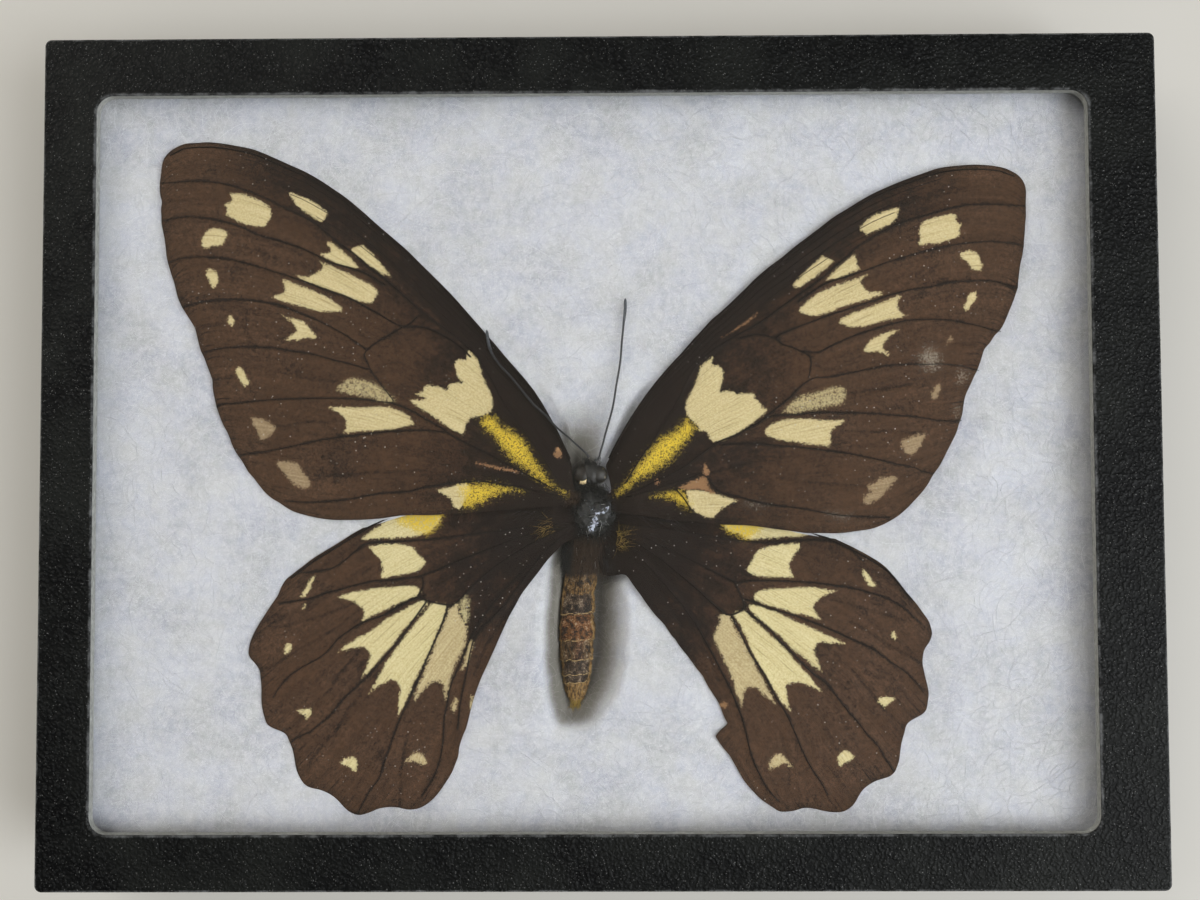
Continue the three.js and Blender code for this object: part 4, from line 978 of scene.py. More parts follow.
# %% Right forewing markings
MARKINGS["forewing_right"] = {
    "cream": """
49.95 43.9 50.8 43.06 51.5 42.5 52.1 43.06 53.5 43.5 55.2 44.3 56.5 45.1 57.2 46.1 57.5 47.2
57.6 47.9 56.8 47.8 55.4 47.45 53.8 46.85 52.4 46.2 51.3 45.5 50.4 44.6 / 37 33.06 37.8 32.5
38.9 32.9 40.6 34 41.95 35.1 43.6 36.2 44.5 37.03 45 37.6 44.6 38 43.6 38.4 42.8 38.7 41.95
37.85 40.6 36.75 39.2 35.4 38.1 34.3 / 43.2 33.9 44.2 34.8 45 35.7 46.4 37 47.8 38.1 48.85 38.8
49.3 38.7 49.4 37.3 49.95 36.2 50 35.9 48.85 35.5 47.5 35 46.1 34.5 44.7 34 / 51.6 35 50.2 34
50.5 32.9 51.3 32.1 52.1 31.7 53.8 31.7 54.7 31.6 53.8 31.04 52.4 30.5 50 29.8 47.5 29.1 45 28.2
43.1 27.5 41.1 27.1 39.8 27.4 38.4 27.9 38.25 28.6 39.2 29.5 40.6 30.6 41.95 31.6 43.4 32.2 45
32.9 47.5 33.7 49.7 34.5 51.05 35 / 57.9 30.8 57.2 29.9 57.03 29 57.4 28.2 58.2 27.5 59.05 27.1
57.9 26.8 56.5 26.5 55.03 26.2 53 25.6 51.05 25.1 49.4 24.95 47.5 25.1 46.7 25.6 45.7 25.8 46.1
26.5 47.5 27.2 50 28.2 52.4 29.1 55.03 30.1 56.5 30.8 57.4 31 / 57.5 24.3 56.5 23.8 55.4 22.95
54.6 22.1 54.2 21.3 54.5 20.6 55.4 19.9 55.3 19.5 54.3 19.8 53.2 20.15 51.6 20.15 50.6 20.3 50.4
20.6 50.9 21.2 51.2 21.85 52.1 22.7 53.5 23.4 55.2 24.05 56.5 24.4 / 61.9 44.85 62.8 45.5 64.8
46.1 66.7 46.6 68.2 46.6 68.6 45.8 68.7 45 69.4 44.6 69.15 43.6 69.2 42.65 68.3 42 66.7 41.4
65.03 40.9 63.7 40.9 61.7 40.6 61.3 41.1 61.6 42.2 61.3 43.06 61.5 44.2 / 69 38.4 69.4 39.2 70.5
39.55 71.9 39.4 72.7 38.7 73 37.6 73.5 36.9 73.3 35.9 72.4 35.7 71.5 35.9 70.9 36.6 70.4 37.4 /
69.97 29.3 69.6 28.8 69.8 28.2 70.4 27.9 70.9 28.6 71.6 29.5 72.2 30.35 72.1 31.3 71.75 31.8
71.07 31.45 70.5 30.8 70.2 29.9 / 31.5 5 31.9 5.8 32.9 6.5 34.5 7.2 36.5 7.5 40 7.5 43.6 7.2 45
7.2 47.07 7.2 46.1 6.5 45 5.8 44.3 5 44.06 4.03 44.2 2.9 43.6 2.1 42.5 2.25 41.1 2.4 38.9 2.7 37
3.07 35 3.3 33.5 3.6 32.4 4.03 31.8 4.4 / 21.9 19.5 21.1 19 20 18.3 19.2 17.06 18.8 15.8 18.4
14.7 17.8 13.35 17.1 12 16.45 10.6 16.45 9.5 16.7 8.4 17.5 7.3 18.6 6.2 19.2 5.3 20.3 5 20.8 4.3
21.4 3.35 22.5 3.07 24.1 3.6 25.8 4.4 27.4 5.4 29.07 6.5 30.4 7.6 31.5 8.4 32.2 9.4 31.3 9.6 31
10.2 30.4 10.9 29.75 11.6 29.5 12.3 28.5 12.5 27.4 12.4 26.3 12.26 25.5 12.8 24.1 12.9 23.03
12.7 23.3 13.6 23.6 15 23.8 16.4 23.4 17.3 22.8 17.7 21.5 17.9 21.7 18.3 21.9 19.1 / 16.6 -6.1
18.6 -6 20.8 -6.2 22.5 -6.75 24.1 -7.4 26.3 -8 25.2 -8.4 24.4 -9.1 23.03 -9.8 22.5 -10.6 21.9
-11.2 21.1 -11.4 20.15 -11.2 18.9 -10.6 17.8 -9.9 17 -9 16.6 -7.4""",
    "yellow": """
16.45 7.9 15.6 6.8 14.5 5.7 13.2 4.85 11.8 4.3 10.6 3.2 9.3 1.56 7.95 -0.1 6.6 -1.3 6.2 -2.4 5.2
-4 4.4 -5.1 3 -6.2 2.6 -6.9 3 -7.2 4.1 -6.75 5.5 -5.9 6.85 -4.8 8.2 -4 9.9 -3.2 11.5 -2.1 13.2
-1 14.8 0.7 16.2 2.4 17.5 3.8 18.4 5.1 18.9 6.1 / 9.6 -7.6 10.97 -6.8 12.6 -6.35 14.5 -6.02 16
-5.95 16.9 -7.2 17.4 -9.5 16.45 -9.8 15.4 -9.1 14 -8.4 12.3 -7.7 11 -7.6""",
    "tan": """
57.35 2.9 57.9 3.5 59 3.9 60 4.3 61.2 4.6 62.15 4.6 62.15 4 61.6 2.9 61.2 2 60.65 1.3 60 0.6
59.3 0.3 58.5 0.6 57.8 1.4 57.4 2.25 / 50.1 -8.1 50.2 -7.4 51.05 -6.75 51.6 -6.5 51.1 -6.1 51.1
-5.1 52.1 -4.8 53 -4.15 53.8 -3.7 55.03 -3.55 56.5 -3.6 56.8 -4.15 56.1 -4.8 55.2 -5.8 54.3
-6.75 53.5 -7.6 52.4 -8.4 51.05 -8.9 50.2 -8.7 / 66.8 22.95 67.2 23.2 67.6 22.5 67.2 22 66.5
21.7 66.3 21.4 66.5 22.3 / 64.9 14.04 65.2 13.35 64.9 12.3 64.35 11.4 63.8 10.9 63.25 11.3 63.25
12 63.7 12.9 64.07 13.6 64.5 14.2""",
    "dusted": """
35.2 8.7 36 10.1 37.1 11 38.9 11.9 40.9 12.4 43.4 13.1 45 13.5 46.7 13.3 47.1 12.3 46.8 11 45.9
10.1 44.2 9.9 43 9.5 41.1 9.2 39.2 8.9 37.3 8.5""",
    "powder": """
61 19.6 62.2 21.2 64 21 65.4 19.6 65.2 17.6 63.6 16.2 61.8 16.6 60.8 18 / 68.2 16 69.2 17 70.2
16 69.8 14.2 68.6 13.8 / 67.8 9.6 68.8 9.8 69 8 68 7.8 / 43 -10.6 45 -10.4 47.6 -10.8 47 -11.6
44 -11.4 / 27.6 -8.6 30 -8.4 31.4 -9 29.6 -9.6""",
    "worn": """
19.2 -3.5 20.4 -3.75 20.8 -5.1 21.4 -6.1 22.5 -6.9 20.8 -6.6 19.2 -6 16.5 -5.9 14.95 -5.5 16.45
-4.85 17.8 -4.15 18.9 -3.75 / 20.1 -0.8 20.9 -2.6 20.3 -3.6 19.6 -3.2 19.8 -2.1 / 10.4 -4.4
10.97 -3.8 11.5 -4.4 10.97 -5 / 22.8 22.7 27.4 25.7 30.2 27.8 30.3 27.4 27.5 25.2""",
    "veins": """
81.8 48 77.6 48.3 74.9 48.4 72.2 48.4 70 48.2 67.8 47.8 65.03 47.04 62.6 46.3 60 45.6 57.9 45
55.7 43.9 53.5 42.8 51.6 41.7 49.7 40.5 47.5 38.5 45 36.5 43.1 34.7 36.5 30 30 25.4 24 22.2 19.2
18.6 16.6 14.6 14.6 10.4 11.8 5.8 8 0.4 5 -4.6 / 81.2 40.3 80 40.7 77.1 41.1 74.9 41.3 72.2
41.06 70 40.9 67.5 40.5 65.03 40.05 62.6 39.5 60 38.8 57.4 38 55.03 37.3 52.4 36.3 50 35.5 47.5
34.7 45 33.9 42.8 33.05 38 29.8 / 80 32.3 78.7 32.6 76 33.5 73.5 33.7 71.07 33.7 68.9 33.6 66.1
33.25 63.4 32.6 60 32.1 57.4 31.5 55.03 30.9 52.97 30.1 50 29.2 47.5 28.35 45 27.6 42 26.5 35
23.8 33.7 22.95 / 76.6 23.9 75.7 24.05 73.5 24.7 71.07 25.4 68.9 25.8 66.7 26.2 63.9 26.3 61.2
26.3 59 26.2 56.8 25.75 55.03 25.3 52.4 24.5 50 23.8 47.5 22.8 45 21.7 42.8 20.6 42 20.15 38.4
20.35 / 72.3 16.5 71.6 16.6 69.4 17.3 66.7 17.7 64.8 17.8 62.3 17.7 60 17.8 57.4 17.7 55.03
17.55 52.4 17.06 50 16.6 47.5 16.1 45 15.6 42.8 15.3 41.1 15.3 39.5 14.45 37.8 13.1 36.2 11.4
34.5 10.06 32.9 8.8 31.5 7.7 / 68.9 7 68.3 6.9 66.1 6.9 63.9 7.1 61.2 7.6 58.5 7.9 55.03 8.15
52.4 8.4 50 8.5 47.5 8.55 45 8.55 42 8.7 40 8.55 37.6 8.3 35 8.2 32.9 8 31.5 7.6 / 63.4 -3.1
61.2 -2.65 60 -1.95 57.4 -1.45 55.03 -0.9 52.4 -0.2 50 0.3 47.5 0.8 45 1.15 42 1.56 40 1.8 37.6
2.1 35 2.25 32.6 2.5 30 2.7 27.4 2.8 23.5 2.6 / 55 -11.4 53 -11.3 50.2 -11.2 47.5 -11.1 44.7
-10.8 43 -10.5 40 -9.9 37.6 -9.5 35 -9.2 32.4 -8.8 30.2 -8.4 27.4 -7.6 24.7 -6.9 22.5 -6.2 19.7
-2.9 17 -3.9 13.7 -4.8 9.6 -6.2 4.9 -7.3 / 31.5 7.6 30.2 6.6 28.8 5.95 27.4 5.1 25.5 4.2 23.3
3.35 21.4 2.25 19.7 1 17.8 -0.36 16.2 -1.6 11 -4.2 6 -6.6 / 33.7 22.95 35.1 21.7 36.7 21.2 38.4
20.35 40.03 19.5 40.4 18.3 40.2 16.6 39.9 15.3 / 33.7 22.95 30 23.6 26.6 22.8 / 14.7 -6 16.2
-7.85 17.3 -9.8""",
    "folds": """
68 21.9 72 21.4 / 30.2 26.1 32.9 24.05 34.8 21.85 / 50 44.6 40 37 30 28 20 17.2 10 4.4 / 60 14
52 12.9 46 12.2 / 62 4.6 54 5 47 5 / 52 -5.6 42 -4.8 34 -3.8 / 28 -1 22 -2.6 14 -4.8"""}

# %% Left hindwing markings
MARKINGS["hindwing_left"] = {
    "cream": """
-45.5 -15.1 -44.5 -14.2 -42.9 -13.06 -41.6 -12.2 -39.5 -10.9 -35.1 -10.3 -30.6 -10.7 -30.3 -11.4
-30.9 -12.5 -32 -13.5 -33.5 -14.2 -35.4 -14.8 -37.9 -14.9 -40.4 -15.04 -42 -15.04 -44.5 -15.3 /
-44.1 -16.5 -42.9 -16.2 -41 -16.1 -39.9 -16.03 -37.9 -16.1 -36.5 -16.4 -35.6 -16.6 -34.9 -17.6
-33.9 -18.7 -33.3 -19.6 -33.8 -20.5 -35.1 -21.4 -37.1 -21.9 -39.3 -22.25 -40.6 -22.6 -41.6 -22.8
-41.8 -22.1 -41.5 -21 -41.6 -19.9 -42.05 -19.1 -42.9 -18.1 -43.6 -17.2 / -50 -26.1 -48.6 -25.6
-47 -25.1 -44.8 -24.8 -42.9 -24.4 -41 -24.3 -38.2 -24.1 -36.5 -23.95 -35.1 -24.1 -34.2 -24.7
-34.2 -25.3 -35 -26 -36.5 -26.6 -38.4 -27.5 -40.4 -28.4 -42 -29.2 -43.4 -29.8 -45.2 -30.6 -45
-29.5 -45.2 -28.7 -45.75 -28 -46.6 -27.3 -47.8 -26.8 -48.9 -26.5 / -48.1 -34.95 -46.2 -33.9
-43.4 -32.3 -42 -31.4 -40.4 -30.07 -38.7 -29.2 -36.5 -28 -34.9 -27.2 -33.8 -26.8 -33.1 -26.8
-32.7 -27.4 -33.5 -28.4 -35.1 -30.07 -36.8 -31.7 -38.2 -33.4 -39.3 -35 -40.6 -36.5 -42 -38 -43.1
-39.5 -44.5 -40.7 -45.3 -41.5 -44.8 -40.03 -44.1 -38.4 -43.8 -37.15 -44.1 -36.3 -44.8 -35.8
-45.9 -35.7 -47.5 -36 -48.9 -36.3 -49.9 -36.6 -49 -35.6 / -44.2 -44.6 -43.4 -43.3 -42.3 -41.5
-41.5 -39.9 -40.9 -38.7 -39.5 -36.7 -37.9 -34.6 -36.5 -32.7 -34.9 -30.75 -33.5 -29 -32.4 -27.7
-31.7 -27.3 -30.5 -27.3 -29.4 -27.5 -29.2 -28 -29.5 -29.5 -30.2 -31.4 -31.03 -33.1 -31.6 -34.5
-32.4 -36.5 -33.5 -38.7 -34.5 -40.6 -35.3 -42.2 -36 -43.9 -36.8 -45.8 -37.6 -47.4 -38.3 -48.8
-38.4 -47.7 -38.4 -46.3 -38.2 -44.7 -38.1 -43.6 -38.4 -42.6 -39.3 -42.03 -40.1 -42.03 -41.2
-42.6 -42.05 -42.9 -43.1 -43.7 / -54.3 -22.06 -54.8 -23.5 -55.5 -24.9 -56.03 -25.95 -57 -26.2
-57.3 -25.9 -56.6 -25.1 -56.03 -24.03 -55.3 -22.7 / -60.1 -35.6 -59.7 -35 -59.2 -34.7 -58.5
-35.1 -58.8 -35.9 -59.3 -36.7 -59.9 -37 -60.2 -36.3 / -57.7 -47.4 -57 -47.2 -56.03 -47.3 -55.07
-47.2 -54.8 -47.8 -55.07 -48.5 -55.7 -49.4 -56.03 -48.9 -56.3 -48.4 -57.1 -48.1 / -49.5 -57.6
-49.04 -56.9 -48.1 -56.5 -46.85 -56.2 -46.3 -56.9 -46.2 -58.1 -46.4 -59.2 -47 -59.1 -47.5 -58.5
-48.35 -58.1 / -56.1 -27.5 -56 -27.9 -56.5 -28.4 -56.8 -28.2""",
    "yellow": """
-40.6 -10.6 -37.9 -9.6 -33 -9.3 -29.9 -10 -29.8 -11.4 -30.5 -12.8 -31.7 -13.9 -33 -14.6 -35.6
-13.9 -38.4 -12.6""",
    "tan": """
-27.2 -27.4 -27.7 -27.5 -28.8 -28.4 -29.4 -30.07 -30.2 -32 -31.03 -33.8 -31.7 -35.6 -32.7 -38.1
-33.5 -40.03 -34.3 -41.95 -35 -43.9 -35.3 -45.9 -34.6 -45.1 -33.8 -44.1 -32.8 -43.05 -31.9 -42.4
-31.03 -42.2 -30.2 -42.6 -29.8 -43.5 -29.7 -44.7 -29.4 -45.8 -29.1 -45 -28.6 -43.05 -28 -40.6
-27.2 -38.7 -26.2 -36.7 -25.4 -34.6 -25.2 -32 -25.5 -31.3 -26.2 -30.5 -26.6 -29.2 -27.06 -28.1
-26.8 -27.7 / -24.6 -34.3 -24.04 -35.1 -24.45 -36.7 -24.9 -38.1 -25.3 -39.2 -26.2 -40.03 -26.5
-39.8 -25.8 -38.1 -25.5 -36.7 -25.1 -35.1 / -27.6 -45.1 -27.06 -45.8 -27.06 -46.9 -27.6 -48.1
-28.2 -47.6 -28.3 -46.75 -27.96 -45.8 / -37.06 -57.5 -36.5 -56.6 -35.4 -55.5 -34.7 -55.3 -33.9
-55.7 -33.2 -56.6 -32.8 -57.6 -33.5 -57.9 -34.3 -57.7 -35.4 -57.4 -36.4 -57.4 / -24.7 -44.9
-24.1 -45.2 -24.3 -47.3 -24.9 -47.2""",
    "dusted": """
-26.8 -27.9 -26.4 -26.6 -25.4 -26.2 -24.9 -27.5 -25 -30 -25.6 -31.4 -26.3 -30.4""",
    "veins": """
-57.7 -21.4 -55 -21.4 -52.5 -21 -50 -20.2 -46 -17 -44 -15.9 -38 -15.6 -30 -15 -22 -14 -12 -12.8
-4 -12 / -61 -27.3 -57.7 -26.8 -55 -26.4 -52.5 -25.4 -50 -24.85 -47 -24 -44.2 -23.3 -41 -22.9
-39.3 -22.9 -36.5 -22.5 -33.8 -22.1 -26 -19 -16 -15.2 -6 -12.6 / -62.06 -45 -60.7 -42.8 -59.3
-41.3 -57.7 -40 -52.5 -37 -50 -34.2 -47 -32 -45 -30.9 -43.4 -30.3 -41 -29.5 -37.9 -27.6 -35.1
-26.4 -33.2 -25.8 / -58.5 -53.2 -56.6 -52.2 -55 -51.5 -53 -49.9 -51.1 -48.3 -49.5 -46.3 -48.1
-44.7 -45.1 -41.95 -42.6 -39.4 -38 -34 -33 -27 / -46 -67 -44.5 -63.9 -43.4 -62.2 -41.8 -60.05
-40.9 -56.8 -39.9 -54.3 -39 -51.5 -37.9 -48.8 -36.5 -46.06 -35.4 -43.3 -34.05 -40.6 -32.7 -37.3
-31.4 -34.5 -30.2 -31.7 -29.25 -29 -29 -28 / -33.8 -63.6 -32.4 -61.4 -31.03 -58.7 -30.2 -55.7
-29.8 -52.6 -29.7 -49.4 -29.1 -46.3 -28.6 -43.6 -27.7 -41.1 -26.6 -38.9 -25.4 -35.6 -22 -29.5
-16 -22.5 -8 -15.4 / -27.06 -51 -26.6 -46.3 -25.5 -40.9 -23.9 -34 -20.1 -29.8 -17.9 -27.3 -14.6
-22.9 -10.2 -17.2 -5.5 -13.6 / -34 -22.2 -33.6 -24 -34.5 -26 -32.5 -27 -29 -27.7 -27.3 -27.2 -22
-22 -14 -16.6 -6 -13""",
    "folds": """
-64.2 -39.9 -61.2 -38.4 -57.7 -36.2 -51 -32.5 -45 -28 / -59.3 -51.1 -57.7 -49.9 -54.9 -47.2
-53.6 -45.5 -51.6 -43.9 -49.7 -40.85 -46 -36.4 / -55.5 -57.9 -54.1 -55.9 -52.5 -53.7 -50.3 -51.5
-48.35 -48 -45.6 -44.7 / -38.2 -66 -37.9 -61.4 -37.9 -58.7 -36.6 -52 / -62 -32 -54 -30 -46 -27 /
-24 -41 -21 -34 -15 -26 -9 -18.6"""}

# %% Right hindwing markings
MARKINGS["hindwing_right"] = {
    "cream": """
24 -12.5 25.8 -12.4 28.2 -12.5 31.5 -12.75 35 -13.2 37.6 -13.9 38.7 -14.3 39.6 -14.7 38.4 -15.04
35.6 -15.1 32.9 -15.3 30 -15.5 28.2 -15.5 27.4 -14.9 25.8 -14.2 24.5 -13.9 24.1 -13.3 / 31.9
-16.8 33.5 -16.6 35 -16.4 36.5 -16.2 37.7 -16.3 38.2 -16.6 37.8 -17.45 37.15 -18.5 36.5 -19.4
36.2 -20.5 36.3 -21.4 36.8 -22.7 35 -22.7 32.9 -22.7 30.7 -22.6 29.3 -22.25 28.4 -21.7 28.02
-21.15 28.4 -20.2 29.07 -19.1 29.6 -18.1 30.4 -17.3 / 30 -25.3 31.5 -24.9 33.5 -24.8 35 -24.7 37
-24.6 40 -24.5 42 -24.8 43.6 -25.1 45.1 -25.35 43.6 -25.8 42.5 -26.3 41.7 -26.9 40.9 -27.6 40.6
-28.4 41 -29.4 41.8 -30.6 40.3 -30.3 38.4 -29.8 36.7 -29.4 35 -28.8 33.2 -28.4 31.5 -27.9 30.2
-27.3 29.3 -26.6 29.3 -25.95 / 29.07 -27.9 30.4 -28 32.1 -28.6 34 -29.4 35.6 -30.2 37.8 -31.2 40
-32.1 42 -33.1 44.2 -34.04 46.4 -35.2 45 -35.15 43.4 -35.15 41.7 -35.1 40.9 -35.6 40.6 -36.5
40.9 -37.6 41.4 -38.9 41.95 -40.4 40.9 -39.9 39.5 -38.8 37.8 -37.3 36.2 -36.2 35.4 -34.95 34.3
-34.04 32.4 -32.4 30.2 -30.5 28.4 -29 28.2 -28.4 28.5 -28 / 25.2 -29.5 26.3 -29.02 27.6 -29.1
28.2 -29.65 29.6 -31.02 31.5 -32.8 33.2 -34.4 34 -35.2 35.6 -36.7 37 -38.4 38.4 -39.9 39.8 -41.5
41.1 -43.3 41.95 -44.5 40.6 -43.7 39.2 -43.05 37.8 -42.6 36.5 -42.6 35.5 -42.9 35.2 -43.6 35.4
-45 35.6 -46.6 36.1 -48.1 35.1 -47.2 34 -45.8 32.9 -44 31.8 -42.2 30.7 -40.3 29.6 -38.4 28.5
-36.3 27.8 -34.3 26.6 -32 25.4 -30.07 / 50 -21.15 49.95 -22.25 50.4 -23.3 51.05 -24.3 51.9 -24.5
52.5 -24.4 52 -23.6 51.2 -22.5 50.5 -21.6 / 52.4 -45.9 52.97 -45.4 54.06 -45.2 55.4 -45.4 55.85
-45.8 55.03 -46.3 54.2 -47.02 53.8 -47.4 53.1 -46.75 / 44.7 -56.8 45.15 -55.8 46.1 -55.3 47.07
-55.5 48.03 -56.5 47.2 -57.2 46.25 -57.6 45.3 -58.3 44.96 -58.1 / 55.3 -33.4 55.7 -32.9 56.2
-33.5 56.04 -34.5 55.4 -34.04""",
    "yellow": """
23.3 -11.8 28 -11.6 32.5 -12.1 31.4 -13.6 29.4 -15.2 28 -15.9 26.6 -15.4 25 -14.7 23.8 -13.9""",
    "tan": """
22.6 -29.8 23.2 -29.4 24.3 -29.65 24.8 -30.07 25.5 -31.7 26.6 -33.6 27.7 -35.6 28.8 -37.8 29.9
-39.9 31 -41.95 32.1 -44.1 33.04 -46.6 32.1 -45.8 30.7 -44.7 29.6 -43.7 28.5 -43.5 27.7 -43.9
27.1 -45 26.9 -46.06 26.7 -46.9 26.2 -45.8 25.5 -43.9 24.95 -41.95 24.1 -40.03 23.3 -38.4 22.5
-36.6 21.7 -34.8 21.4 -34.2 21.9 -32.5 22.6 -31.2 / 31.7 -58.5 31.7 -57.6 32.4 -56.5 33.45
-55.85 34.55 -56.2 35.4 -57.03 36.1 -58.3 35.5 -58.3 34.8 -57.9 33.45 -58.3 32.4 -58.8""",
    "worn": "22.5 -46.5 23.3 -46.06 24 -46.3 24.1 -46.9 23.3 -47.4 22.7 -47.2",
    "veins": """
50 -19.6 46 -16.4 40 -15.6 31.5 -16.1 22 -15 12 -13.4 3 -12.4 / 60.6 -31.4 59 -29.8 57.4 -28.4
55 -26.9 52.4 -25.95 50 -25.3 47.5 -24.6 45 -24.3 42 -23.9 40 -23.6 35.6 -23.4 32.9 -23.3 27.4
-23.3 25.5 -23.5 16 -18.6 5 -13.4 / 61 -44 59 -41.7 57.4 -40.3 55 -38.7 52.4 -36.7 50 -35.4 47.5
-34.3 45 -33.1 42 -31.85 40 -31.02 37 -29.9 34.3 -29.1 31.5 -28.3 29.07 -27.3 27.4 -26.8 / 55.2
-59 53.8 -56.8 52.1 -54 50.2 -52.1 48.9 -50.2 46.9 -48 45 -45.5 43.6 -43.6 42 -41.95 40.6 -41.1
38.9 -39.5 37 -37.6 35 -35.5 33.3 -34 32.9 -33.2 30.2 -30.9 28 -29.2 / 42.8 -63.6 41.4 -60.9 40
-58.95 38.4 -55.9 37 -52.6 35.4 -48.8 33.7 -46.06 32.6 -44.1 31.3 -41.4 29.9 -39.2 28.5 -37 27
-34 26.05 -32 24.95 -30.07 / 33.5 -64.7 31.5 -62.5 29.9 -59.5 28.5 -56.2 27.7 -52.9 27.1 -50.2
26.05 -47.2 24.7 -43.9 23.3 -41.1 22.2 -38.9 20.8 -36.2 17.5 -30.5 11.5 -23 4.5 -15.6 / 25.5
-23.5 26.3 -25.1 27 -26.8 27.4 -28.4 24.8 -29.8 23 -29 17 -23.6 10 -18 3 -13.8""",
    "folds": """
61.1 -39 60 -38.5 57.4 -37 55 -35.8 53 -34.4 50 -32.5 47.6 -31.2 / 57.1 -50.9 55 -48.9 53 -46.9
51 -44.1 47.5 -40 / 20.3 -36.7 21.9 -40.9 22.5 -42.2 / 35.6 -62 35.4 -58 34 -52 / 58 -31 50
-28.6 44 -27 / 5 -16.4 10 -20.4 14.8 -25.2 19 -32 / 6 -19 11 -25 15.6 -32"""}

for name, kinds in MARKINGS.items():
    for kind, text in kinds.items():
        kinds[kind] = [line(part) for part in text.split("/") if part.strip()]
    print(name, {kind: len(lines) for kind, lines in kinds.items()})

# %% [markdown]
# ## The wings
#
# A wing is a film a few hundredths of a millimetre thick, stiffened by veins, and pressed almost
# flat by the glass. It could be a flat cut-out with a picture on it, but then its edge would be
# hard and its veins painted. Here it is a closed thin shell. The four parts of its outline are the
# sides of one patch: each inside point is a blend of the points facing it on the four sides, which
# makes the grid fan out from the base as the veins do. Veins are ridges, folds are dents, and
# tapered tubes along the veins are joined to the shell.

# %% Wing shapes
WING_GRID = (236, 176)
WING_CORNERS = {
    "forewing_left": ((-5.3, -1.7), (-84.2, 56.5), (-62.3, -7.5), (-1.6, -8.7)),
    "forewing_right": ((1.2, -1.45), (81.8, 52.0), (60, -8), (0, -9.8)),
    "hindwing_left": ((-2, -9.6), (-60, -22.9), (-31, -63.5), (-2, -14.4)),
    "hindwing_right": ((0, -10.4), (60, -27.7), (26, -59.2), (0.6, -22.2))}
FORE_LEVEL = 14.62
HIND_LEVEL = 14.25
TUCKED = 0.55
FILM = 0.24
PATCHES = ("cream", "dusted", "yellow", "tan", "worn", "powder")
OUTSIDE = -6.0
DUSTED_DEPTH = 0.45
LINE_REACH = 4.0
VEIN_POINTS = 36
VEIN_SIDES = 6


def patch(outline, corners):
    """A transfinite patch inside a closed outline: the blend of the two sides along it plus the
    blend of the two sides across it minus the blend of its four corners."""
    rows, columns = WING_GRID
    at = [int(np.argmin(np.linalg.norm(outline - c, axis=1))) for c in corners]
    loop = np.roll(outline, -at[0], axis=0)
    cuts = [(a - at[0]) % len(outline) for a in at] + [len(outline)]
    loop = np.vstack([loop, loop[:1]])
    front, outer, hind, base = [loop[a:b + 1] for a, b in zip(cuts[:-1], cuts[1:])]
    front, hind = evenly(front, rows), evenly(hind[::-1], rows)
    outer, base = evenly(outer[::-1], columns), evenly(base, columns)
    u = np.linspace(0, 1, rows)[:, None, None]
    v = np.linspace(0, 1, columns)[None, :, None]
    sides = hind[:, None] * (1 - v) + front[:, None] * v + base[None] * (1 - u) + outer[None] * u
    ends = ((1 - u) * ((1 - v) * hind[0] + v * front[0]) + u * ((1 - v) * hind[-1] + v * front[-1]))
    return sides - ends


def wing_lines(name, kind):
    return [through(path, 4) for path in MARKINGS[name][kind]]


def line_gap(name, flat, kind):
    """How far points are from the nearest vein or fold, in mm, and at most LINE_REACH."""
    return np.min([from_line(flat, path, LINE_REACH) for path in wing_lines(name, kind)], axis=0)


def wing_height(name, flat):
    """The wing's top in mm at points (n, 2): its level with soft waves, ridged along the veins,
    dented along the folds, lower where the other wing lies on it and where it joins the body."""
    x, y = flat[:, 0], flat[:, 1]
    seed = 40 + len(name) + ("right" in name)
    fore = name.startswith("fore")
    vein, fold = line_gap(name, flat, "veins"), line_gap(name, flat, "folds")
    height = (FORE_LEVEL if fore else HIND_LEVEL) + 0.13 * hills(x, y, 21, seed)
    height = height + 0.05 * hills(x, y, 6.5, seed + 1) + 0.02 * hills(x, y, 2.2, seed + 2)
    height += 0.15 * np.exp(-(vein / 0.75) ** 2) - 0.13 * np.exp(-(fold / 0.7) ** 2)
    if not fore:
        cover = inside_by(flat, SMOOTH_OUTLINES[name.replace("hind", "fore")], 4.0)
        height -= TUCKED * ease(cover, -3.0, 0.5)
    return height - 1.5 * (1 - ease(np.abs(x - BODY_MIDDLE), 1.5, 9))


def depth_in(name, flat, kind):
    """How deep points lie inside the nearest patch of that kind, in mm."""
    lines = MARKINGS[name].get(kind)
    if not lines:
        return np.full(len(flat), OUTSIDE)
    return np.max([inside_by(flat, through(p, 3, closed=True)) for p in lines], axis=0)


def vein_tubes(name, grid):
    """Tapered tubes along the veins, and along the close-set ribs behind the front edge."""
    paths = [evenly(path, VEIN_POINTS) for path in wing_lines(name, "veins")]
    widths = [0.115] * len(paths)
    ribs = {"fore": (0.993, 0.974, 0.952, 0.928, 0.90), "hind": (0.985,)}[name[:4]]
    for share, width in zip(ribs, (0.27, 0.12, 0.10, 0.085, 0.075)):
        stop = int(WING_GRID[0] * (0.97 if share > 0.98 else 0.45 + 0.45 * share ** 6))
        paths.append(evenly(grid[4:stop, int(share * (WING_GRID[1] - 1))], VEIN_POINTS))
        widths.append(width)
    flat = np.stack(paths)
    out = np.clip(np.abs(flat[..., 0]) / 84, 0, 1)
    radii = np.array(widths)[:, None] * (1.25 - 0.75 * out)
    z = wing_height(name, flat.reshape(-1, 2)).reshape(flat.shape[:2])
    middle = z - 0.15 * radii
    return tubes(np.concatenate([flat, middle[..., None]], axis=2), radii, VEIN_SIDES)


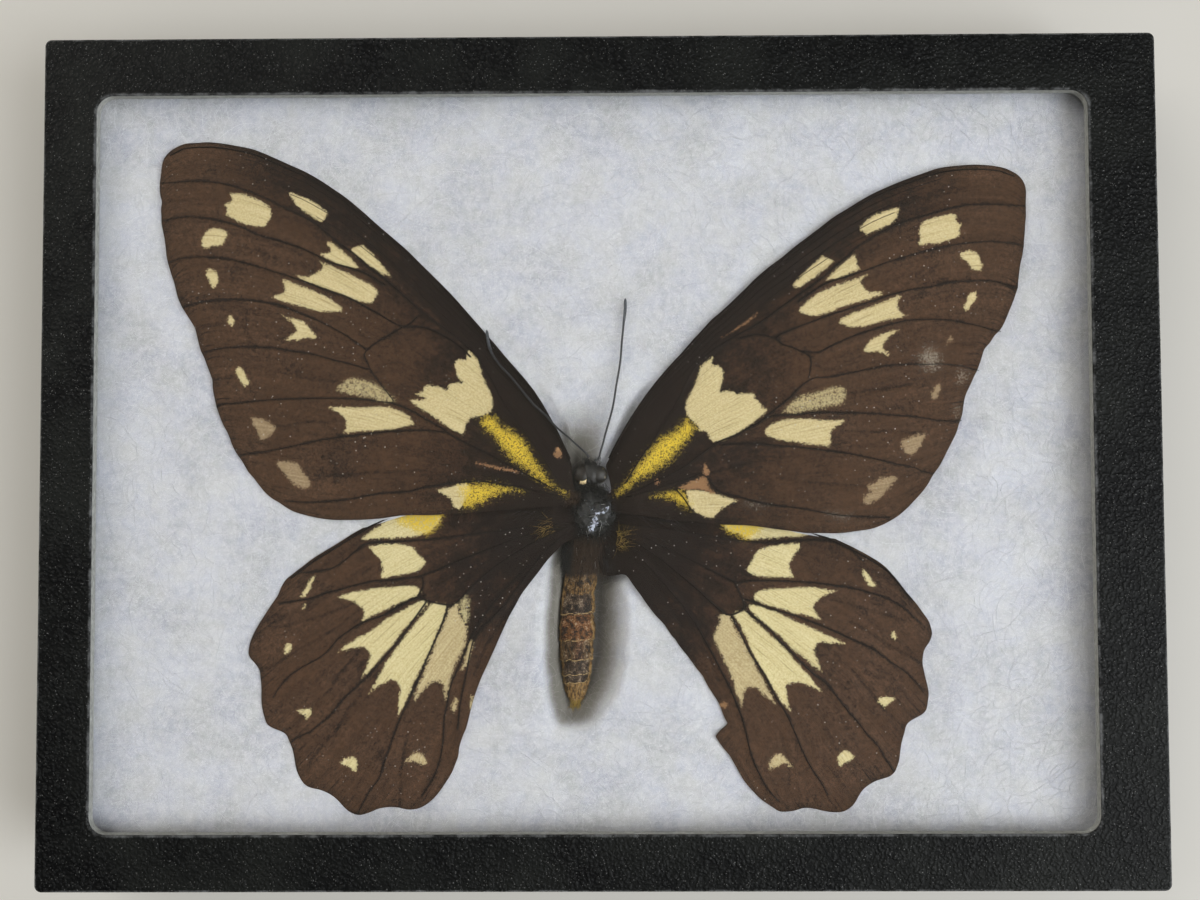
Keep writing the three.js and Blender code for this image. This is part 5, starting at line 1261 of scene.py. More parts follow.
def wing_piece(name):
    """The wing's closed shell with its veins: the patch's grid as the top, the same grid lower
    down as the underside, a rim between them, and the joined tubes."""
    rows, columns = WING_GRID
    outline = SMOOTH_OUTLINES[name]
    grid = patch(outline, WING_CORNERS[name])
    flat = grid.reshape(-1, 2)
    z = wing_height(name, flat)
    edge = np.maximum(inside_by(flat, outline, 30.0), 0)
    top = np.column_stack([flat, z])
    under = np.column_stack([flat, z - FILM * (0.25 + 0.75 * ease(edge, 0, 1.2))])
    faces = grid_faces(rows, columns)
    index = np.arange(rows * columns).reshape(rows, columns)
    rim = rim_of(rows, columns)
    walls = strip(rim, rim + rows * columns)
    sides = [faces, faces[:, ::-1] + rows * columns, walls[:, ::-1]]
    a, b, c = flat[index[5, 5]], flat[index[6, 5]], flat[index[6, 6]]
    facing_up = np.cross(b - a, c - b) > 0
    if not facing_up:
        sides = [f[:, ::-1] for f in sides]
    numbers = {kind: depth_in(name, flat, kind) for kind in PATCHES}
    numbers["dusted"] = np.minimum(numbers["dusted"], DUSTED_DEPTH)
    numbers.update(
        vein=line_gap(name, flat, "veins"), fold=line_gap(name, flat, "folds"), edge=edge,
        along=np.repeat(np.linspace(0, 1, rows), columns),
        across=np.tile(np.linspace(0, 1, columns), rows), ridge=np.zeros(len(flat)))
    both = {label: np.concatenate([values, values]) for label, values in numbers.items()}
    tube_points, tube_faces = vein_tubes(name, grid)
    on_tube = {**dict.fromkeys(PATCHES, OUTSIDE), "vein": 0.0, "fold": LINE_REACH, "edge": 9.0,
               "along": 0.5, "across": 0.5, "ridge": 1.0}
    points, all_faces, all_numbers = join(
        (np.vstack([top, under]), sides, both), (tube_points, tube_faces, on_tube))
    return mesh_piece(name + "_scaled", points, all_faces, all_numbers), grid


# %% [markdown]
# ## Wing scales
#
# A butterfly's colour is thousands of dust-fine scales in rows. At this size they show as grit: a
# frayed edge on every patch, faint streaks along the wing, and a dry, slightly silky surface. The
# finish starts from brown that is darker at the front edge, at the base and along the veins, adds
# painted shade along the folds and in short creases near the margin, and lays the dusted, tan,
# cream and yellow scales on it where depth plus grit is above zero. Towards the margin the brown is
# faded in clouds, and brown scales pepper the yellow.

# %% Wing finish
def tinted(colour, shares):
    """The colour with each of its three parts times its share."""
    return tuple(share * part for share, part in zip(shares, colour))


def scaled_wing(name, brown, dark, cream, dull, dust, costal, golden):
    """A wing's finish. The colours are albedos, dust is how thickly specks lie on the wing,
    costal how dark its front edge is and golden how soon a yellow patch is solid."""
    finish = Finish(name, Specular_IOR_Level=0.14)
    at = finish.place()
    grit = finish.noise(at, 7800.0, 1.0, 0.6)
    coarse = finish.noise(at, 2600.0, 2.0, 0.6)
    middling = finish.noise(at, 1100.0, 3.0, 0.6)
    mottle = finish.noise(at, 380.0, 4.0, 0.65)
    cloud = finish.noise(at, 110.0, 4.0, 0.6)
    along, across = finish.number("along"), finish.number("across")
    fan = finish.node("CombineXYZ", {}, {"X": along * 7.0, "Y": across * 150.0})
    rays = finish.noise(fan, 1.0, 3.0, 0.65, 0.3)
    broad_fan = finish.node("CombineXYZ", {}, {"X": along * 3.0, "Y": across * 34.0})
    broad = finish.noise(broad_fan, 1.0, 3.0, 0.6, 0.2)
    vein, fold, edge = finish.number("vein"), finish.number("fold"), finish.number("edge")
    ridge = finish.number("ridge")

    front = across.step(0.80, 0.96) * along.step(0.92, 0.72) * costal
    shade = front + along.step(0.60, 0.10) * 1.15
    # Darker along the veins, and painted shade along the folds.
    shade = shade + vein.step(0.5, 0.08) * 0.5 + fold.step(0.5, 0.1) * 0.3
    shade = shade + (rays - 0.5) * 0.55 + (broad - 0.5) * 0.8 + (cloud - 0.5) * 1.5
    shade = shade + mottle.step(0.38, 0.62) * 0.32 + middling.step(0.38, 0.62) * 0.26
    shade = shade + coarse.step(0.38, 0.62) * 0.26 + (grit - 0.5) * 1.2 - 0.36
    # Painted shade in short creases near the margin.
    crease_shade = edge.step(4.5, 0.4) * rays.step(0.54, 0.66) * along.step(0.72, 0.9)
    shade = shade + crease_shade * 0.5 + edge.step(1.6, 0.1) * 0.2
    faded = (cloud * 0.55 + mottle * 0.45).step(0.43, 0.58) * along.step(0.45, 0.85) * 0.8
    scales = finish.blend(faded, brown, tinted(brown, (1.9, 2.0, 2.2)))
    ground = finish.blend(shade.step(-0.75, 1.0), scales, dark)

    fray = (grit - 0.5) * 0.8 + (coarse - 0.5) * 1.3 + (middling - 0.5) * 0.7
    cream_share = (finish.number("cream") + fray - 0.05).step(-0.14, 0.22)
    lines_in_cream = rays.step(0.56, 0.7) * 0.35 + vein.step(0.34, 0.1) * 0.8
    cream_share = cream_share * (1 - lines_in_cream.up_to(0.85))
    dusted_share = (finish.number("dusted") * 0.8 + fray * 1.4 - 0.1).step(-0.35, 0.6) * 0.85
    tan_share = (finish.number("tan") + fray * 1.4).step(-0.1, 0.4) * 0.9
    pepper = 1 - coarse.step(0.50, 0.60) * 0.6
    flash = finish.number("yellow") * golden + fray * 1.6 - 0.12
    yellow_share = pepper * flash.step(-0.15, 0.3) * 0.95
    worn_share = (finish.number("worn") + fray).step(-0.1, 0.3)

    grainy = (coarse * 0.4 + grit * 0.3 + rays * 0.3).step(0.36, 0.64)
    cream_tone = finish.blend(grainy, cream, tinted(cream, (0.74, 0.68, 0.56)))
    dull_tone = finish.blend((rays * 0.5 + coarse * 0.5).step(0.36, 0.62), dull,
                             tinted(dull, (0.70, 0.65, 0.58)))
    yellow_tone = finish.blend(coarse.step(0.35, 0.65), (0.70, 0.48, 0.035), (0.47, 0.35, 0.05))
    colour = finish.blend(tan_share, ground, dull_tone)
    powder = (finish.number("powder") * 0.3 + fray * 1.6).step(-0.1, 0.9) * 0.5
    colour = finish.blend(powder, colour, (0.42, 0.37, 0.30))
    colour = finish.blend(dusted_share, colour, cream_tone)
    colour = finish.blend(cream_share, colour, cream_tone)
    colour = finish.blend(yellow_share, colour, yellow_tone)
    colour = finish.blend(worn_share, colour, finish.blend(grit, (0.16, 0.065, 0.026),
                                                          (0.33, 0.20, 0.10)))
    colour = finish.blend(ridge * 0.9, colour, tinted(dark, (0.6, 0.6, 0.6)))
    specks = finish.cells(at, 800.0)
    picked = finish.noise(at, 60.0, 3.0, 0.7).step(0.42, 0.7)
    speck_share = (specks + grit * 0.06).step(0.15, 0.10) * picked * dust
    colour = finish.blend(speck_share, colour, (0.45, 0.44, 0.41))
    relief = rays * 0.7 + grit * 0.35 + coarse * 0.3 + broad * 0.6
    finish.wear(Base_Color=colour, Roughness=0.60 + grit * 0.2 + cream_share * 0.12,
                Normal=finish.bump(relief, 0.5, 0.22))
    return finish.material


fore_finish = scaled_wing("forewing_scales", (0.071, 0.035, 0.0165), (0.010, 0.005, 0.003),
                          (0.62, 0.53, 0.31), (0.36, 0.27, 0.165), 0.8, 0.75, 0.42)
hind_finish = scaled_wing("hindwing_scales", (0.073, 0.036, 0.0175), (0.009, 0.0045, 0.003),
                          (0.67, 0.595, 0.35), (0.60, 0.50, 0.29), 0.9, 0.3, 0.5)
grids = {}
for name in OUTLINES:
    wing, grids[name] = wing_piece(name)
    fore = name.startswith("fore")
    place(wing, fore_finish if fore else hind_finish, "forewing" if fore else "hindwing", name)

# %% [markdown]
# ## Head and thorax
#
# The head is small and black, with a large bulging eye on each side. The thorax is a lumpy black
# block that carries the wings and, folded under it, the legs. Both have worn bald and shiny on top,
# and a bluish-white highlight is painted along the thorax's back.
# A ball stretched three ways, with its radius changed by a smooth function of direction, gives
# the head, the eyes, the palps and the thorax, and its poles are closed with small fans. The legs
# are tubes.

# %% Head and thorax shapes
def ball(centre, half, rows, columns, swell=None):
    """A closed ball, stretched to half sizes: each direction times a radius of 1 + swell."""
    lat = (np.arange(1, rows) / rows - 0.5) * math.pi
    lon = np.arange(columns) / columns * 2 * math.pi
    lat, lon = np.meshgrid(lat, lon, indexing="ij")
    ways = np.stack([np.cos(lat) * np.cos(lon), np.cos(lat) * np.sin(lon), np.sin(lat)], axis=-1)
    ways = np.vstack([ways.reshape(-1, 3), [[0, 0, -1], [0, 0, 1]]])
    radius = 1 + (swell(ways) if swell else np.zeros(len(ways)))
    points = np.array(centre) + ways * radius[:, None] * np.array(half)
    last = (rows - 2) * columns + np.arange(columns)
    first = np.arange(columns)
    low, high = len(ways) - 2, len(ways) - 1
    fans = [fan(first, low)[:, [1, 0, 2]], fan(last, high)]
    faces = grid_faces(rows - 1, columns, wrap_columns=True)[:, ::-1]
    return points, [faces, *fans], ways


HEAD_BALL = ((-1.75, -2.9, 12.2), (1.75, 2.25, 1.9))
# An eye's centre, radius, the arc of its tan rim in degrees, and how strong that rim is and how
# brown the eye is.
EYES = (((-3.3, -3.1, 12.3), 1.88, (-112, -12), 1.0, 1.0),
        ((-0.15, -3.0, 12.2), 1.75, (-60, 60), 0.35, 0.3))
PALPS = ((-2.35, -0.9, 12.0), (-1.05, -0.9, 12.0))
THORAX = ((-1.0, -10.7, 11.2), (4.2, 5.1, 4.0))


def head_swell(ways):
    x, y, z = ways.T
    return 0.05 * hills(x * 3 + z * 3, y * 3 + z * 2, 1.0, 61) - 0.05 * np.exp(-(x / 0.2) ** 2)


def thorax_swell(ways):
    """Plates: a groove down the middle of the back and two across, with lumps between."""
    x, y, z = ways.T
    grooves = (0.05 * np.exp(-(x / 0.07) ** 2) * (y > -0.25)
               + 0.07 * np.exp(-((y + 0.42 + 0.25 * np.abs(x)) / 0.06) ** 2)
               + 0.05 * np.exp(-((y - 0.52 - 0.2 * np.abs(x)) / 0.06) ** 2))
    lumps = (0.09 * hills(x * 2.2 + z, y * 2.2, 1.0, 62)
             + 0.075 * hills(x * 6, y * 6 + z * 4, 1.0, 63)
             + 0.028 * hills(x * 15, y * 15 + z * 9, 1.0, 64))
    ridge = 0.10 * np.exp(-(((x - 0.08 + 0.25 * y) / 0.13) ** 2 + ((y + 0.1) / 0.45) ** 2))
    return lumps - grooves + ridge * (z > 0)


head_points, head_faces, ways = ball(*HEAD_BALL, 40, 48, head_swell)
parts = [(head_points, head_faces, {"eye": 0.0, "crescent": 0.0})]
for centre, radius, arc, wear, brownness in EYES:
    eye_points, eye_faces, ways = ball(centre, (radius * 0.94, radius, radius * 0.95), 48, 60)
    turn = np.degrees(np.arctan2(ways[:, 1], ways[:, 0]))
    out = np.hypot(ways[:, 0], ways[:, 1])
    crescent = ease(out, 0.56, 0.66) * ease(ways[:, 2], 0.05, 0.2)
    crescent = crescent * ((turn > arc[0]) & (turn < arc[1])) * wear
    parts.append((eye_points, eye_faces, {"eye": brownness, "crescent": crescent}))
for centre in PALPS:
    palp_points, palp_faces, ways = ball(centre, (0.55, 1.2, 0.6), 14, 18, head_swell)
    parts.append((palp_points, palp_faces, {"eye": 0.0, "crescent": 0.0}))
head = mesh_piece("head_and_eyes", *join(*parts))

LEG_STARTS = [(-1, 2.6, 2.2), (1, 2.6, 2.2), (-1, 0.2, -3.2), (1, 0.2, -3.2), (-1, -2.2, -5.6),
              (1, -2.2, -5.6)]
LEG_POINTS = 24
LEG_SIDES = 8
cx, cy, cz = THORAX[0]
legs = np.stack([evenly(through(np.array([
    [cx + side * 1.2, cy + along, cz - 2.8], [cx + side * 2.6, cy + along + 0.3 * back, cz - 3.9],
    [cx + side * 1.5, cy + along + back, cz - 4.5]]), 8), LEG_POINTS)
    for side, along, back in LEG_STARTS])
leg_width = np.interp(np.linspace(0, 1, LEG_POINTS), [0, 0.1, 0.45, 0.5, 0.55, 0.95, 1],
                      [0.2, 0.38, 0.34, 0.22, 0.27, 0.16, 0.05])
leg_points, leg_faces = tubes(legs, leg_width[None], LEG_SIDES)
thorax_points, thorax_faces, ways = ball(*THORAX, 70, 84, thorax_swell)
# The line along which a bluish-white highlight is painted on the thorax.
HIGHLIGHT_LINE = line("1.9 -9.0 0.8 -9.8 -0.4 -10.3 -1.0 -12 -1.8 -13.8")
highlight_gap = from_line(thorax_points[:, :2], through(HIGHLIGHT_LINE, 4)) + 6 * (thorax_points[:, 2] < cz)
thorax = mesh_piece("thorax_and_legs", *join(
    (thorax_points, thorax_faces, {"painted_highlight": np.exp(-(highlight_gap / 0.8) ** 2)}),
    (leg_points, leg_faces, {"painted_highlight": 0.0})))

# %% Black cuticle finish
def cuticle(name, shine):
    """Near-black, lumpy and partly glossy, with a greenish and bluish cast in places and a painted
    bluish-white highlight.
    """
    finish = Finish(name, Specular_IOR_Level=0.6)
    at = finish.place()
    lumps = finish.noise(at, 1900.0, 4.0, 0.7)
    patches = finish.noise(at, 520.0, 3.0, 0.6)
    base = finish.blend(patches.step(0.35, 0.65), (0.005, 0.005, 0.005), (0.009, 0.010, 0.013))
    polish = patches.step(0.4, 0.6)
    base = finish.blend(lumps.step(0.5, 0.7) * 0.6, base, (0.010, 0.015, 0.009))
    # Painted highlight: bluish-white colour along the line and in lumpy patches.
    highlight_share = finish.number("painted_highlight") + (lumps - 0.5) * 3.4 + (patches - 0.5) * 2 - 0.65
    finish.wear(Base_Color=finish.blend(highlight_share.step(0, 0.5) * 0.85, base, (0.56, 0.60, 0.74)),
                Roughness=shine + (1 - polish) * 0.3,
                Normal=finish.bump(lumps + patches, 0.6, 0.4))
    return finish


thorax_finish = cuticle("black_cuticle", 0.16)
place(thorax, thorax_finish.material, "body", "thorax")

head_finish = Finish("head_cuticle", Specular_IOR_Level=0.55)
at = head_finish.place()
facets = head_finish.cells(at, 6500.0)
skin = head_finish.noise(at, 1800.0, 4.0, 0.6)
eye = head_finish.number("eye")
black = head_finish.blend(skin, (0.004, 0.004, 0.004), (0.014, 0.012, 0.011))
brown_eye = head_finish.blend(skin.step(0.35, 0.7), (0.008, 0.006, 0.005), (0.022, 0.015, 0.011))
# A tan crescent along part of each eye's rim.
tan_rim = head_finish.blend(skin, (0.66, 0.46, 0.20), (0.86, 0.72, 0.44))
colour = head_finish.blend(eye, black, brown_eye)
rim = (head_finish.number("crescent") + (skin - 0.5) * 0.5).step(0.35, 0.6)
head_finish.wear(Base_Color=head_finish.blend(rim, colour, tan_rim),
                 Roughness=0.5 - eye * 0.2 + rim * 0.3,
                 Normal=head_finish.bump(facets * eye * 0.3 + skin * (1 - eye), 0.5, 0.25))
place(head, head_finish.material, "body", "head")

# %% [markdown]
# ## The abdomen
#
# The dried abdomen is seven rings that telescope a little, so its outline steps at each joint, with
# a pale hem on every ring's hind edge. It has shrunk and wrinkled. The shape is a profile carried
# along a slightly curved line: each ring bulges, ends in a raised hem and drops to the next. The
# colours change from ring to ring, and the mesh stores them as weights: violet, russet, gold, the
# hems, and the front end that the fur darkens.

# %% Abdomen shape
ABDOMEN_FRONT = -16.1
ABDOMEN_HEIGHT = 10.9
ABDOMEN_FLAT = 0.86
ABDOMEN_LINE = line("-16.1 -2.3 -21 -3.4 -26 -4.2 -31 -4.5 -38 -4.6 -48.6 -4.8")
ABDOMEN_PROFILE = line("""
0 0 0.1 1.6 1.2 2.5 3.4 2.7 4.2 2.6 6.6 2.95 8.9 3.15 9.4 3.0 11.2 3.25 13.6 3.3 14 3.15 16.2
3.4 18.7 3.35 19.2 3.2 21.2 3.25 22.8 3.1 23.2 2.95 25.6 2.8 26 2.65 27.2 2.45 27.6 2.3 29.6 1.7
31.4 0.85 32.5 0""")
HEMS = (-25.8, -29.65, -34.75, -38.5, -41.35, -42.9)


def abdomen_shape(rows=230, columns=120):
    """Rings round a bent line: the listed half widths, plus hems, wrinkles and dents."""
    length = ABDOMEN_PROFILE[-1, 0]
    along = length * (0.5 - 0.5 * np.cos(np.linspace(0.004, 1, rows) * math.pi))
    along = 0.55 * along + 0.45 * np.linspace(0.02, length, rows)
    turn = np.arange(columns) / columns * 2 * math.pi
    a, t = np.meshgrid(along, turn, indexing="ij")
    y = ABDOMEN_FRONT - a
    half = np.interp(a, ABDOMEN_PROFILE[:, 0], ABDOMEN_PROFILE[:, 1])
    hem, dip = np.zeros_like(a), np.zeros_like(a)
    for place_y in HEMS:
        at = y - place_y - 0.25 * hills(t * 3, a * 0, 1.0, 70) - 0.12 * np.cos(t)
        hem += np.exp(-(at / 0.10) ** 2) * (place_y < -26)
        dip += np.exp(-((at + 0.5) / 0.28) ** 2)
    wrinkles = (0.05 * hills(t * 5, a * 0.8, 1.0, 71) + 0.05 * hills(t * 2, a * 0.35, 1.0, 72)
                + 0.018 * hills(t * 14, a * 2.6, 1.0, 73))
    fade = ease(a, 0, 2) * ease(length - a, 0, 2.5)
    radius = half * (1 + wrinkles * fade) + (0.13 * hem - 0.14 * dip) * fade
    keel = 1 - 0.10 * np.exp(-((np.abs(t - math.pi / 2) - 0.62) / 0.28) ** 2) * fade
    middle = np.interp(-y, -ABDOMEN_LINE[:, 0], ABDOMEN_LINE[:, 1])
    x = middle + radius * np.cos(t)
    z = ABDOMEN_HEIGHT + ABDOMEN_FLAT * radius * keel * np.sin(t)
    points = np.stack([x, y, z], axis=-1).reshape(-1, 3)
    caps = np.array([[middle[0, 0], ABDOMEN_FRONT, ABDOMEN_HEIGHT],
                     [middle[-1, 0], ABDOMEN_FRONT - length, ABDOMEN_HEIGHT]])
    first, last = np.arange(columns), (rows - 1) * columns + np.arange(columns)
    count = rows * columns
    faces = [grid_faces(rows, columns, wrap_columns=True),
             fan(first, count), fan(last, count + 1)[:, [1, 0, 2]]]
    side = np.cos(t)
    speckle = hills(t * 9, a * 2.4, 1.0, 74) * 0.3

    def band(low, high):
        return ease(y + speckle, low - 0.25, low + 0.25) * (
            1 - ease(y + speckle, high - 0.25, high + 0.25))

    violet = (band(-29.6, -25.8) * 1.0 + band(-42.9, -38.5) * 0.75 + band(-34.7, -29.7) * 0.25
              + band(-38.5, -34.8) * 0.5) * (1 - ease(np.abs(side), 0.7, 0.95))
    russet = (band(-34.7, -29.7) + band(-38.5, -34.8) * np.exp(-((side - 0.12) / 0.3) ** 2) * 1.3
              + 0.25 * band(-29.6, -25.8))
    gold = np.clip(ease(np.abs(side), 0.78, 0.93) + band(-52, -42.9) + 0.3 * band(-25.8, -14), 0, 1)
    furred = ease(y + speckle, -22.6, -21.9)
    numbers = {"violet": violet, "russet": russet, "gold": gold, "hem": np.clip(hem, 0, 1),
               "furred": furred}
    numbers = {k: np.append(v.reshape(-1), [v[0].mean(), v[-1].mean()]) for k, v in numbers.items()}
    return np.vstack([points, caps]), faces, numbers


abdomen = mesh_piece("abdomen_rings", *abdomen_shape())

# %% Abdomen finish
abdomen_finish = Finish("dried_abdomen", Specular_IOR_Level=0.24)
at = abdomen_finish.place()
blot = abdomen_finish.noise(at, 900.0, 4.0, 0.65)
fine = abdomen_finish.noise(at, 4200.0, 3.0, 0.65)
grain = abdomen_finish.noise(abdomen_finish.place((4, 1, 1)), 1100.0, 3.0, 0.6)
mix = abdomen_finish.blend
marbling = fine * 0.3 + blot * 0.7
russet = mix(marbling.step(0.43, 0.57), (0.011, 0.004, 0.002), (0.160, 0.056, 0.011))
violet = mix(marbling.step(0.42, 0.66), (0.006, 0.0035, 0.003), (0.098, 0.064, 0.045))
streaks = grain * 0.5 + blot * 0.5
gold = mix(streaks.step(0.4, 0.6), (0.034, 0.015, 0.004), (0.29, 0.17, 0.055))
base = mix(streaks.step(0.42, 0.57), (0.010, 0.005, 0.002), (0.135, 0.070, 0.018))
# Each layer: its weight with a frayed edge, where it sets in and is full, its most, its colour.
for weight, start, full, most, colour in (
        (abdomen_finish.number("russet") * 0.9 + (blot - 0.5) * 0.5, 0.2, 0.9, 0.85, russet),
        (abdomen_finish.number("violet") + (blot - 0.5) * 0.9, 0.25, 0.8, 0.85, violet),
        (abdomen_finish.number("gold") + (grain - 0.5) * 0.7, 0.3, 0.85, 0.9, gold),
        (abdomen_finish.number("hem") + (fine - 0.5) * 0.5, 0.35, 0.8, 0.85, (0.42, 0.30, 0.14))):
    base = mix(weight.step(start, full) * most, base, colour)
base = mix((fine + blot).step(1.08, 1.24) * 0.6, base, (0.34, 0.28, 0.20))
base = mix(abdomen_finish.number("furred"), base, (0.010, 0.006, 0.0045))
abdomen_finish.wear(Base_Color=base, Roughness=0.50 + blot * 0.3,
                    Normal=abdomen_finish.bump(blot + fine * 0.6, 0.6, 0.3))
place(abdomen, abdomen_finish.material, "abdomen", "abdomen")

# %% [markdown]
# ## The feelers
#
# Each antenna is a stiff black thread of short segments, a third of a millimetre thick, that swells
# to a slim club. The left one lies on the forewing and is hard to see; the right one stands clear
# against the wadding. A path with a radius that pulses at every segment and grows along the club
# makes it.

# %% Feelers
LYING = 15.2
ANTENNAE = {
    "antenna_left": (
        line("""
-2.06 0.36 -2.7 1.2 -4.05 2.4 -6.04 4.2 -7.8 5.7 -8.9 6.8 -10.2 8.3 -12.4 10.3 -14.8 13.2 -17
15.9 -18.8 17.8 -20.3 19.9 -21 21.8 -21.3 23.6 -21.45 24.7"""),
        (13.9, 14.35, 14.8, 15.1, LYING)),
    "antenna_right": (
        line("""
-0.9 -0.4 -0.15 0.2 0.2 1.4 0.7 3 1.1 4.6 2.5 9.5 3.3 14.2 4 18.3 4.4 22.7 4.7 25.7 5 28.2 5.05
30.6"""),
        (13.8, 13.95, 14.25, 14.6, 14.85, LYING))}
SHAFT = 0.20
CLUB = 0.30
CLUB_LENGTH = 5.6
SEGMENT = 0.75
FEELER_POINTS = 420
FEELER_SIDES = 12

antenna_finish = Finish("satin_black_thread", Specular_IOR_Level=0.5)
at = antenna_finish.place()
speck = antenna_finish.noise(at, 2500.0, 3.0, 0.6)
club = antenna_finish.number("club")
joint = antenna_finish.number("joint")
dark = antenna_finish.blend(speck, (0.010, 0.010, 0.012), (0.030, 0.031, 0.035))
# The club is coloured a lighter bluish grey than the shaft.
club_bluish_grey = antenna_finish.blend(speck, (0.035, 0.040, 0.050), (0.085, 0.095, 0.115))
shell = antenna_finish.blend(club * 0.75, dark, club_bluish_grey)
antenna_finish.wear(Base_Color=antenna_finish.blend(joint * 0.6, shell, (0.006, 0.006, 0.006)),
                    Roughness=0.38 + joint * 0.3,
                    Normal=antenna_finish.bump(speck, 0.3, 0.08))
for name, (flat, heights) in ANTENNAE.items():
    z = np.full(len(flat), LYING)
    z[:len(heights)] = heights
    path = evenly(through(np.column_stack([flat, z]), 8), FEELER_POINTS)
    length = np.linalg.norm(np.diff(path, axis=0), axis=1).sum()
    along = np.linspace(0, length, len(path))
    club_share = ease(along, length - CLUB_LENGTH, length - 0.45 * CLUB_LENGTH)
    pulse = np.abs(np.sin(math.pi * along / SEGMENT)) ** 0.35
    radius = SHAFT + (CLUB - SHAFT) * club_share
    radius = radius * (0.86 + 0.14 * pulse) * (1 + 0.6 * (1 - ease(along, 0, 0.5)))
    radius *= np.sqrt(np.clip((length - along) / 0.6, 0.02, 1))
    points, faces = tubes(path[None], radius[None], FEELER_SIDES)
    numbers = {"club": np.repeat(club_share, FEELER_SIDES),
               "joint": np.repeat(1 - pulse, FEELER_SIDES)}
    antenna = mesh_piece(name + "_segmented", points, faces, numbers)
    place(antenna, antenna_finish.material, "antenna", name)
    print(name, "is", round(float(length), 1), "mm long")

# %% [markdown]
# ## Fur
#
# Long fine hairs cover the thorax, hide the joint with the abdomen and spread over the wings'
# bases: black on the back, brown behind it, and a golden tuft at each side. Blender's hair system
# could do it, but joined tapered tubes export as ordinary geometry and look the same everywhere.
# Every tuft is one call: where the hairs start, which way they lie, how long they are, and a tone.

# %% Fur
HAIR_POINTS = 5
HAIR_SIDES = 3
HAIR_CEILING = 15.55
COLLAR_HAIRS = 1700
TONES = {"black": 0.0, "brown": 0.34, "gold": 0.67, "white": 1.0}


def tuft(seed, count, roots, way, spread, length, tone, droop=0.0, thick=0.028):
    """Hairs from root points (count, 3): each sets off along way (a vector, or one per root) with
    a random spread, bends by droop towards -Z, and tapers to its tip."""
    dice = np.random.default_rng(seed)
    ways = np.broadcast_to(way, (count, 3)) + dice.normal(0, spread, (count, 3))
    ways = ways / np.linalg.norm(ways, axis=1, keepdims=True)
    reach = dice.uniform(*length, count)[:, None, None]
    t = np.linspace(0, 1, HAIR_POINTS)[None, :, None]
    wave = dice.normal(0, 0.10, (count, 1, 3)) * t * t
    paths = roots[:, None] + reach * (ways[:, None] * t + wave)
    paths[..., 2] -= (droop * reach * t * t)[..., 0]
    paths[..., 2] = np.minimum(paths[..., 2], HAIR_CEILING)
    radius = thick * dice.uniform(0.7, 1.2, (count, 1)) * np.linspace(1, 0.25, HAIR_POINTS)
    points, faces = tubes(paths, radius, HAIR_SIDES)
    shade = np.clip(TONES[tone] + dice.uniform(-0.12, 0.12, count), 0, 1)
    return points, faces, {"tone": np.repeat(shade, HAIR_POINTS * HAIR_SIDES)}


def over(seed, count, left, right, bottom, top, height):
    """Random roots over a rectangle at a height in mm: a number, or a function of x and y."""
    dice = np.random.default_rng(seed)
    x, y = dice.uniform(left, right, count), dice.uniform(bottom, top, count)
    z = height(x, y) if callable(height) else np.full(count, float(height))
    return np.stack([x, y, z], axis=1)


def back_height(x, y):
    """The top of the thorax and of the abdomen's front, as one soft ridge."""
    middle = np.interp(-y, -ABDOMEN_LINE[:, 0], ABDOMEN_LINE[:, 1])
    behind = ABDOMEN_HEIGHT + 2.4 * np.sqrt(np.clip(1 - ((x - middle) / 3.6) ** 2, 0.02, 1))
    inside = 1 - ((x - cx) / 4.2) ** 2 - ((y - cy) / 5.1) ** 2
    return np.maximum(behind, cz + 3.9 * np.sqrt(np.clip(inside, 0, 1)))


def wing_top(x, y):
    return np.where(y > -9.5, 14.35, 13.75) - 1.1 * (1 - ease(np.abs(x - BODY_MIDDLE), 2, 9))


dice = np.random.default_rng(80)
ring_turn = dice.uniform(0, 2 * math.pi, COLLAR_HAIRS)
ring_out = np.sqrt(dice.uniform(0.28, 1, COLLAR_HAIRS))
collar = np.stack([cx + 4.4 * ring_out * np.cos(ring_turn),
                   cy + 5.4 * ring_out * np.sin(ring_turn)], axis=1)
collar = np.column_stack([collar, back_height(collar[:, 0], collar[:, 1]) - 0.15])
outward = np.stack([np.cos(ring_turn), np.sin(ring_turn) - 0.5, np.full(COLLAR_HAIRS, 0.25)],
                   axis=1)
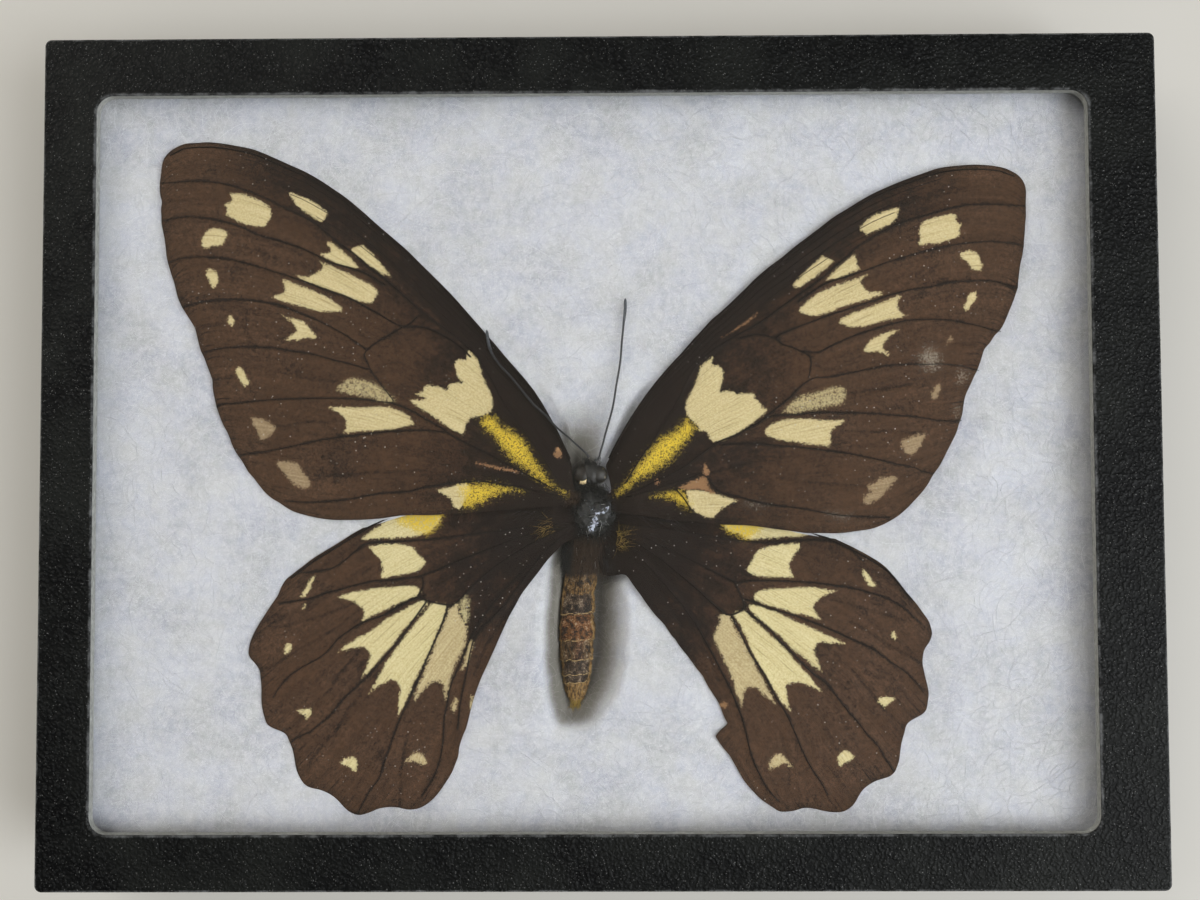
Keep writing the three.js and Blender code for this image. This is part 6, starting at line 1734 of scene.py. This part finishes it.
# Seed, count, the roots' rectangle and height, then what tuft() takes from way on.
TUFTS = (
    (82, 1500, (-6.2, 1.6, -21, -14.5), back_height, (-0.05, -1, 0.05), 0.22, (1.6, 3.8),
     "brown", 0.1),
    (83, 420, (-7.2, -5.0, -20, -15.5), 12.6, (-0.1, -1, 0.05), 0.16, (2, 4), "black"),
    (84, 420, (0.6, 3.2, -20, -15.5), 12.6, (0.1, -1, 0.05), 0.2, (1.5, 3.5), "black"),
    (85, 150, (-10.6, -8.2, -13.8, -11.2), 13.95, (-0.8, -0.5, 0.05), 0.35, (1.0, 3.4), "gold"),
    (86, 100, (3.0, 5.2, -17.4, -13.8), 13.7, (0.75, 0.35, 0.08), 0.5, (0.8, 3.2), "gold", 0.0,
     0.026),
    (87, 300, (-6.8, -3.6, -8.4, -6.0), 13.6, (-0.3, -0.9, 0.2), 0.35, (0.6, 1.6), "brown"),
    (88, 520, (-4.8, 1.2, -7.2, -4.6), 13.2, (0, -0.7, 0.35), 0.5, (0.6, 1.5), "black"),
    (89, 240, (-3.4, 0.3, -1.6, 0.0), 12.9, (0, 0.9, 0.3), 0.4, (0.4, 1.0), "black"),
    (90, 900, (-17, -6.5, -16, -9.8), wing_top, (-0.9, -0.42, 0.02), 0.13, (1.5, 4.0), "black",
     0.0, 0.022),
    (91, 900, (4.5, 15, -18, -10.6), wing_top, (0.85, -0.5, 0.02), 0.13, (1.5, 4.0), "black",
     0.0, 0.022),
    (92, 44, (-7.5, 4.5, -20, -8), back_height, (0.2, -0.5, 0.35), 0.6, (0.8, 2.6), "white", 0.2,
     0.026),
    (93, 110, (-5.8, -3.9, -47.4, -46.0), 12.0, (0, -1, -0.1), 0.3, (0.8, 1.9), "gold", 0.1,
     0.03))
fur = [tuft(81, COLLAR_HAIRS, collar, outward, 0.45, (0.8, 2.8), "black", 0.3)]
fur += [tuft(seed, count, over(seed, count, *where, height), *rest)
        for seed, count, where, height, *rest in TUFTS]
# Whole arrays again: the hairs of every tuft are joined into one mesh.
body_fur = mesh_piece("body_fur", *join(*fur))
fur_finish = Finish("fine_fur", Specular_IOR_Level=0.4, Roughness=0.5)
tone = fur_finish.number("tone")
blend = fur_finish.blend
shade = blend(tone.step(0.12, 0.3), (0.012, 0.012, 0.012), (0.062, 0.034, 0.018))
shade = blend(tone.step(0.44, 0.60), shade, (0.36, 0.24, 0.04))
fur_finish.wear(Base_Color=blend(tone.step(0.78, 0.9), shade, (0.74, 0.73, 0.70)))
place(body_fur, fur_finish.material, "body")
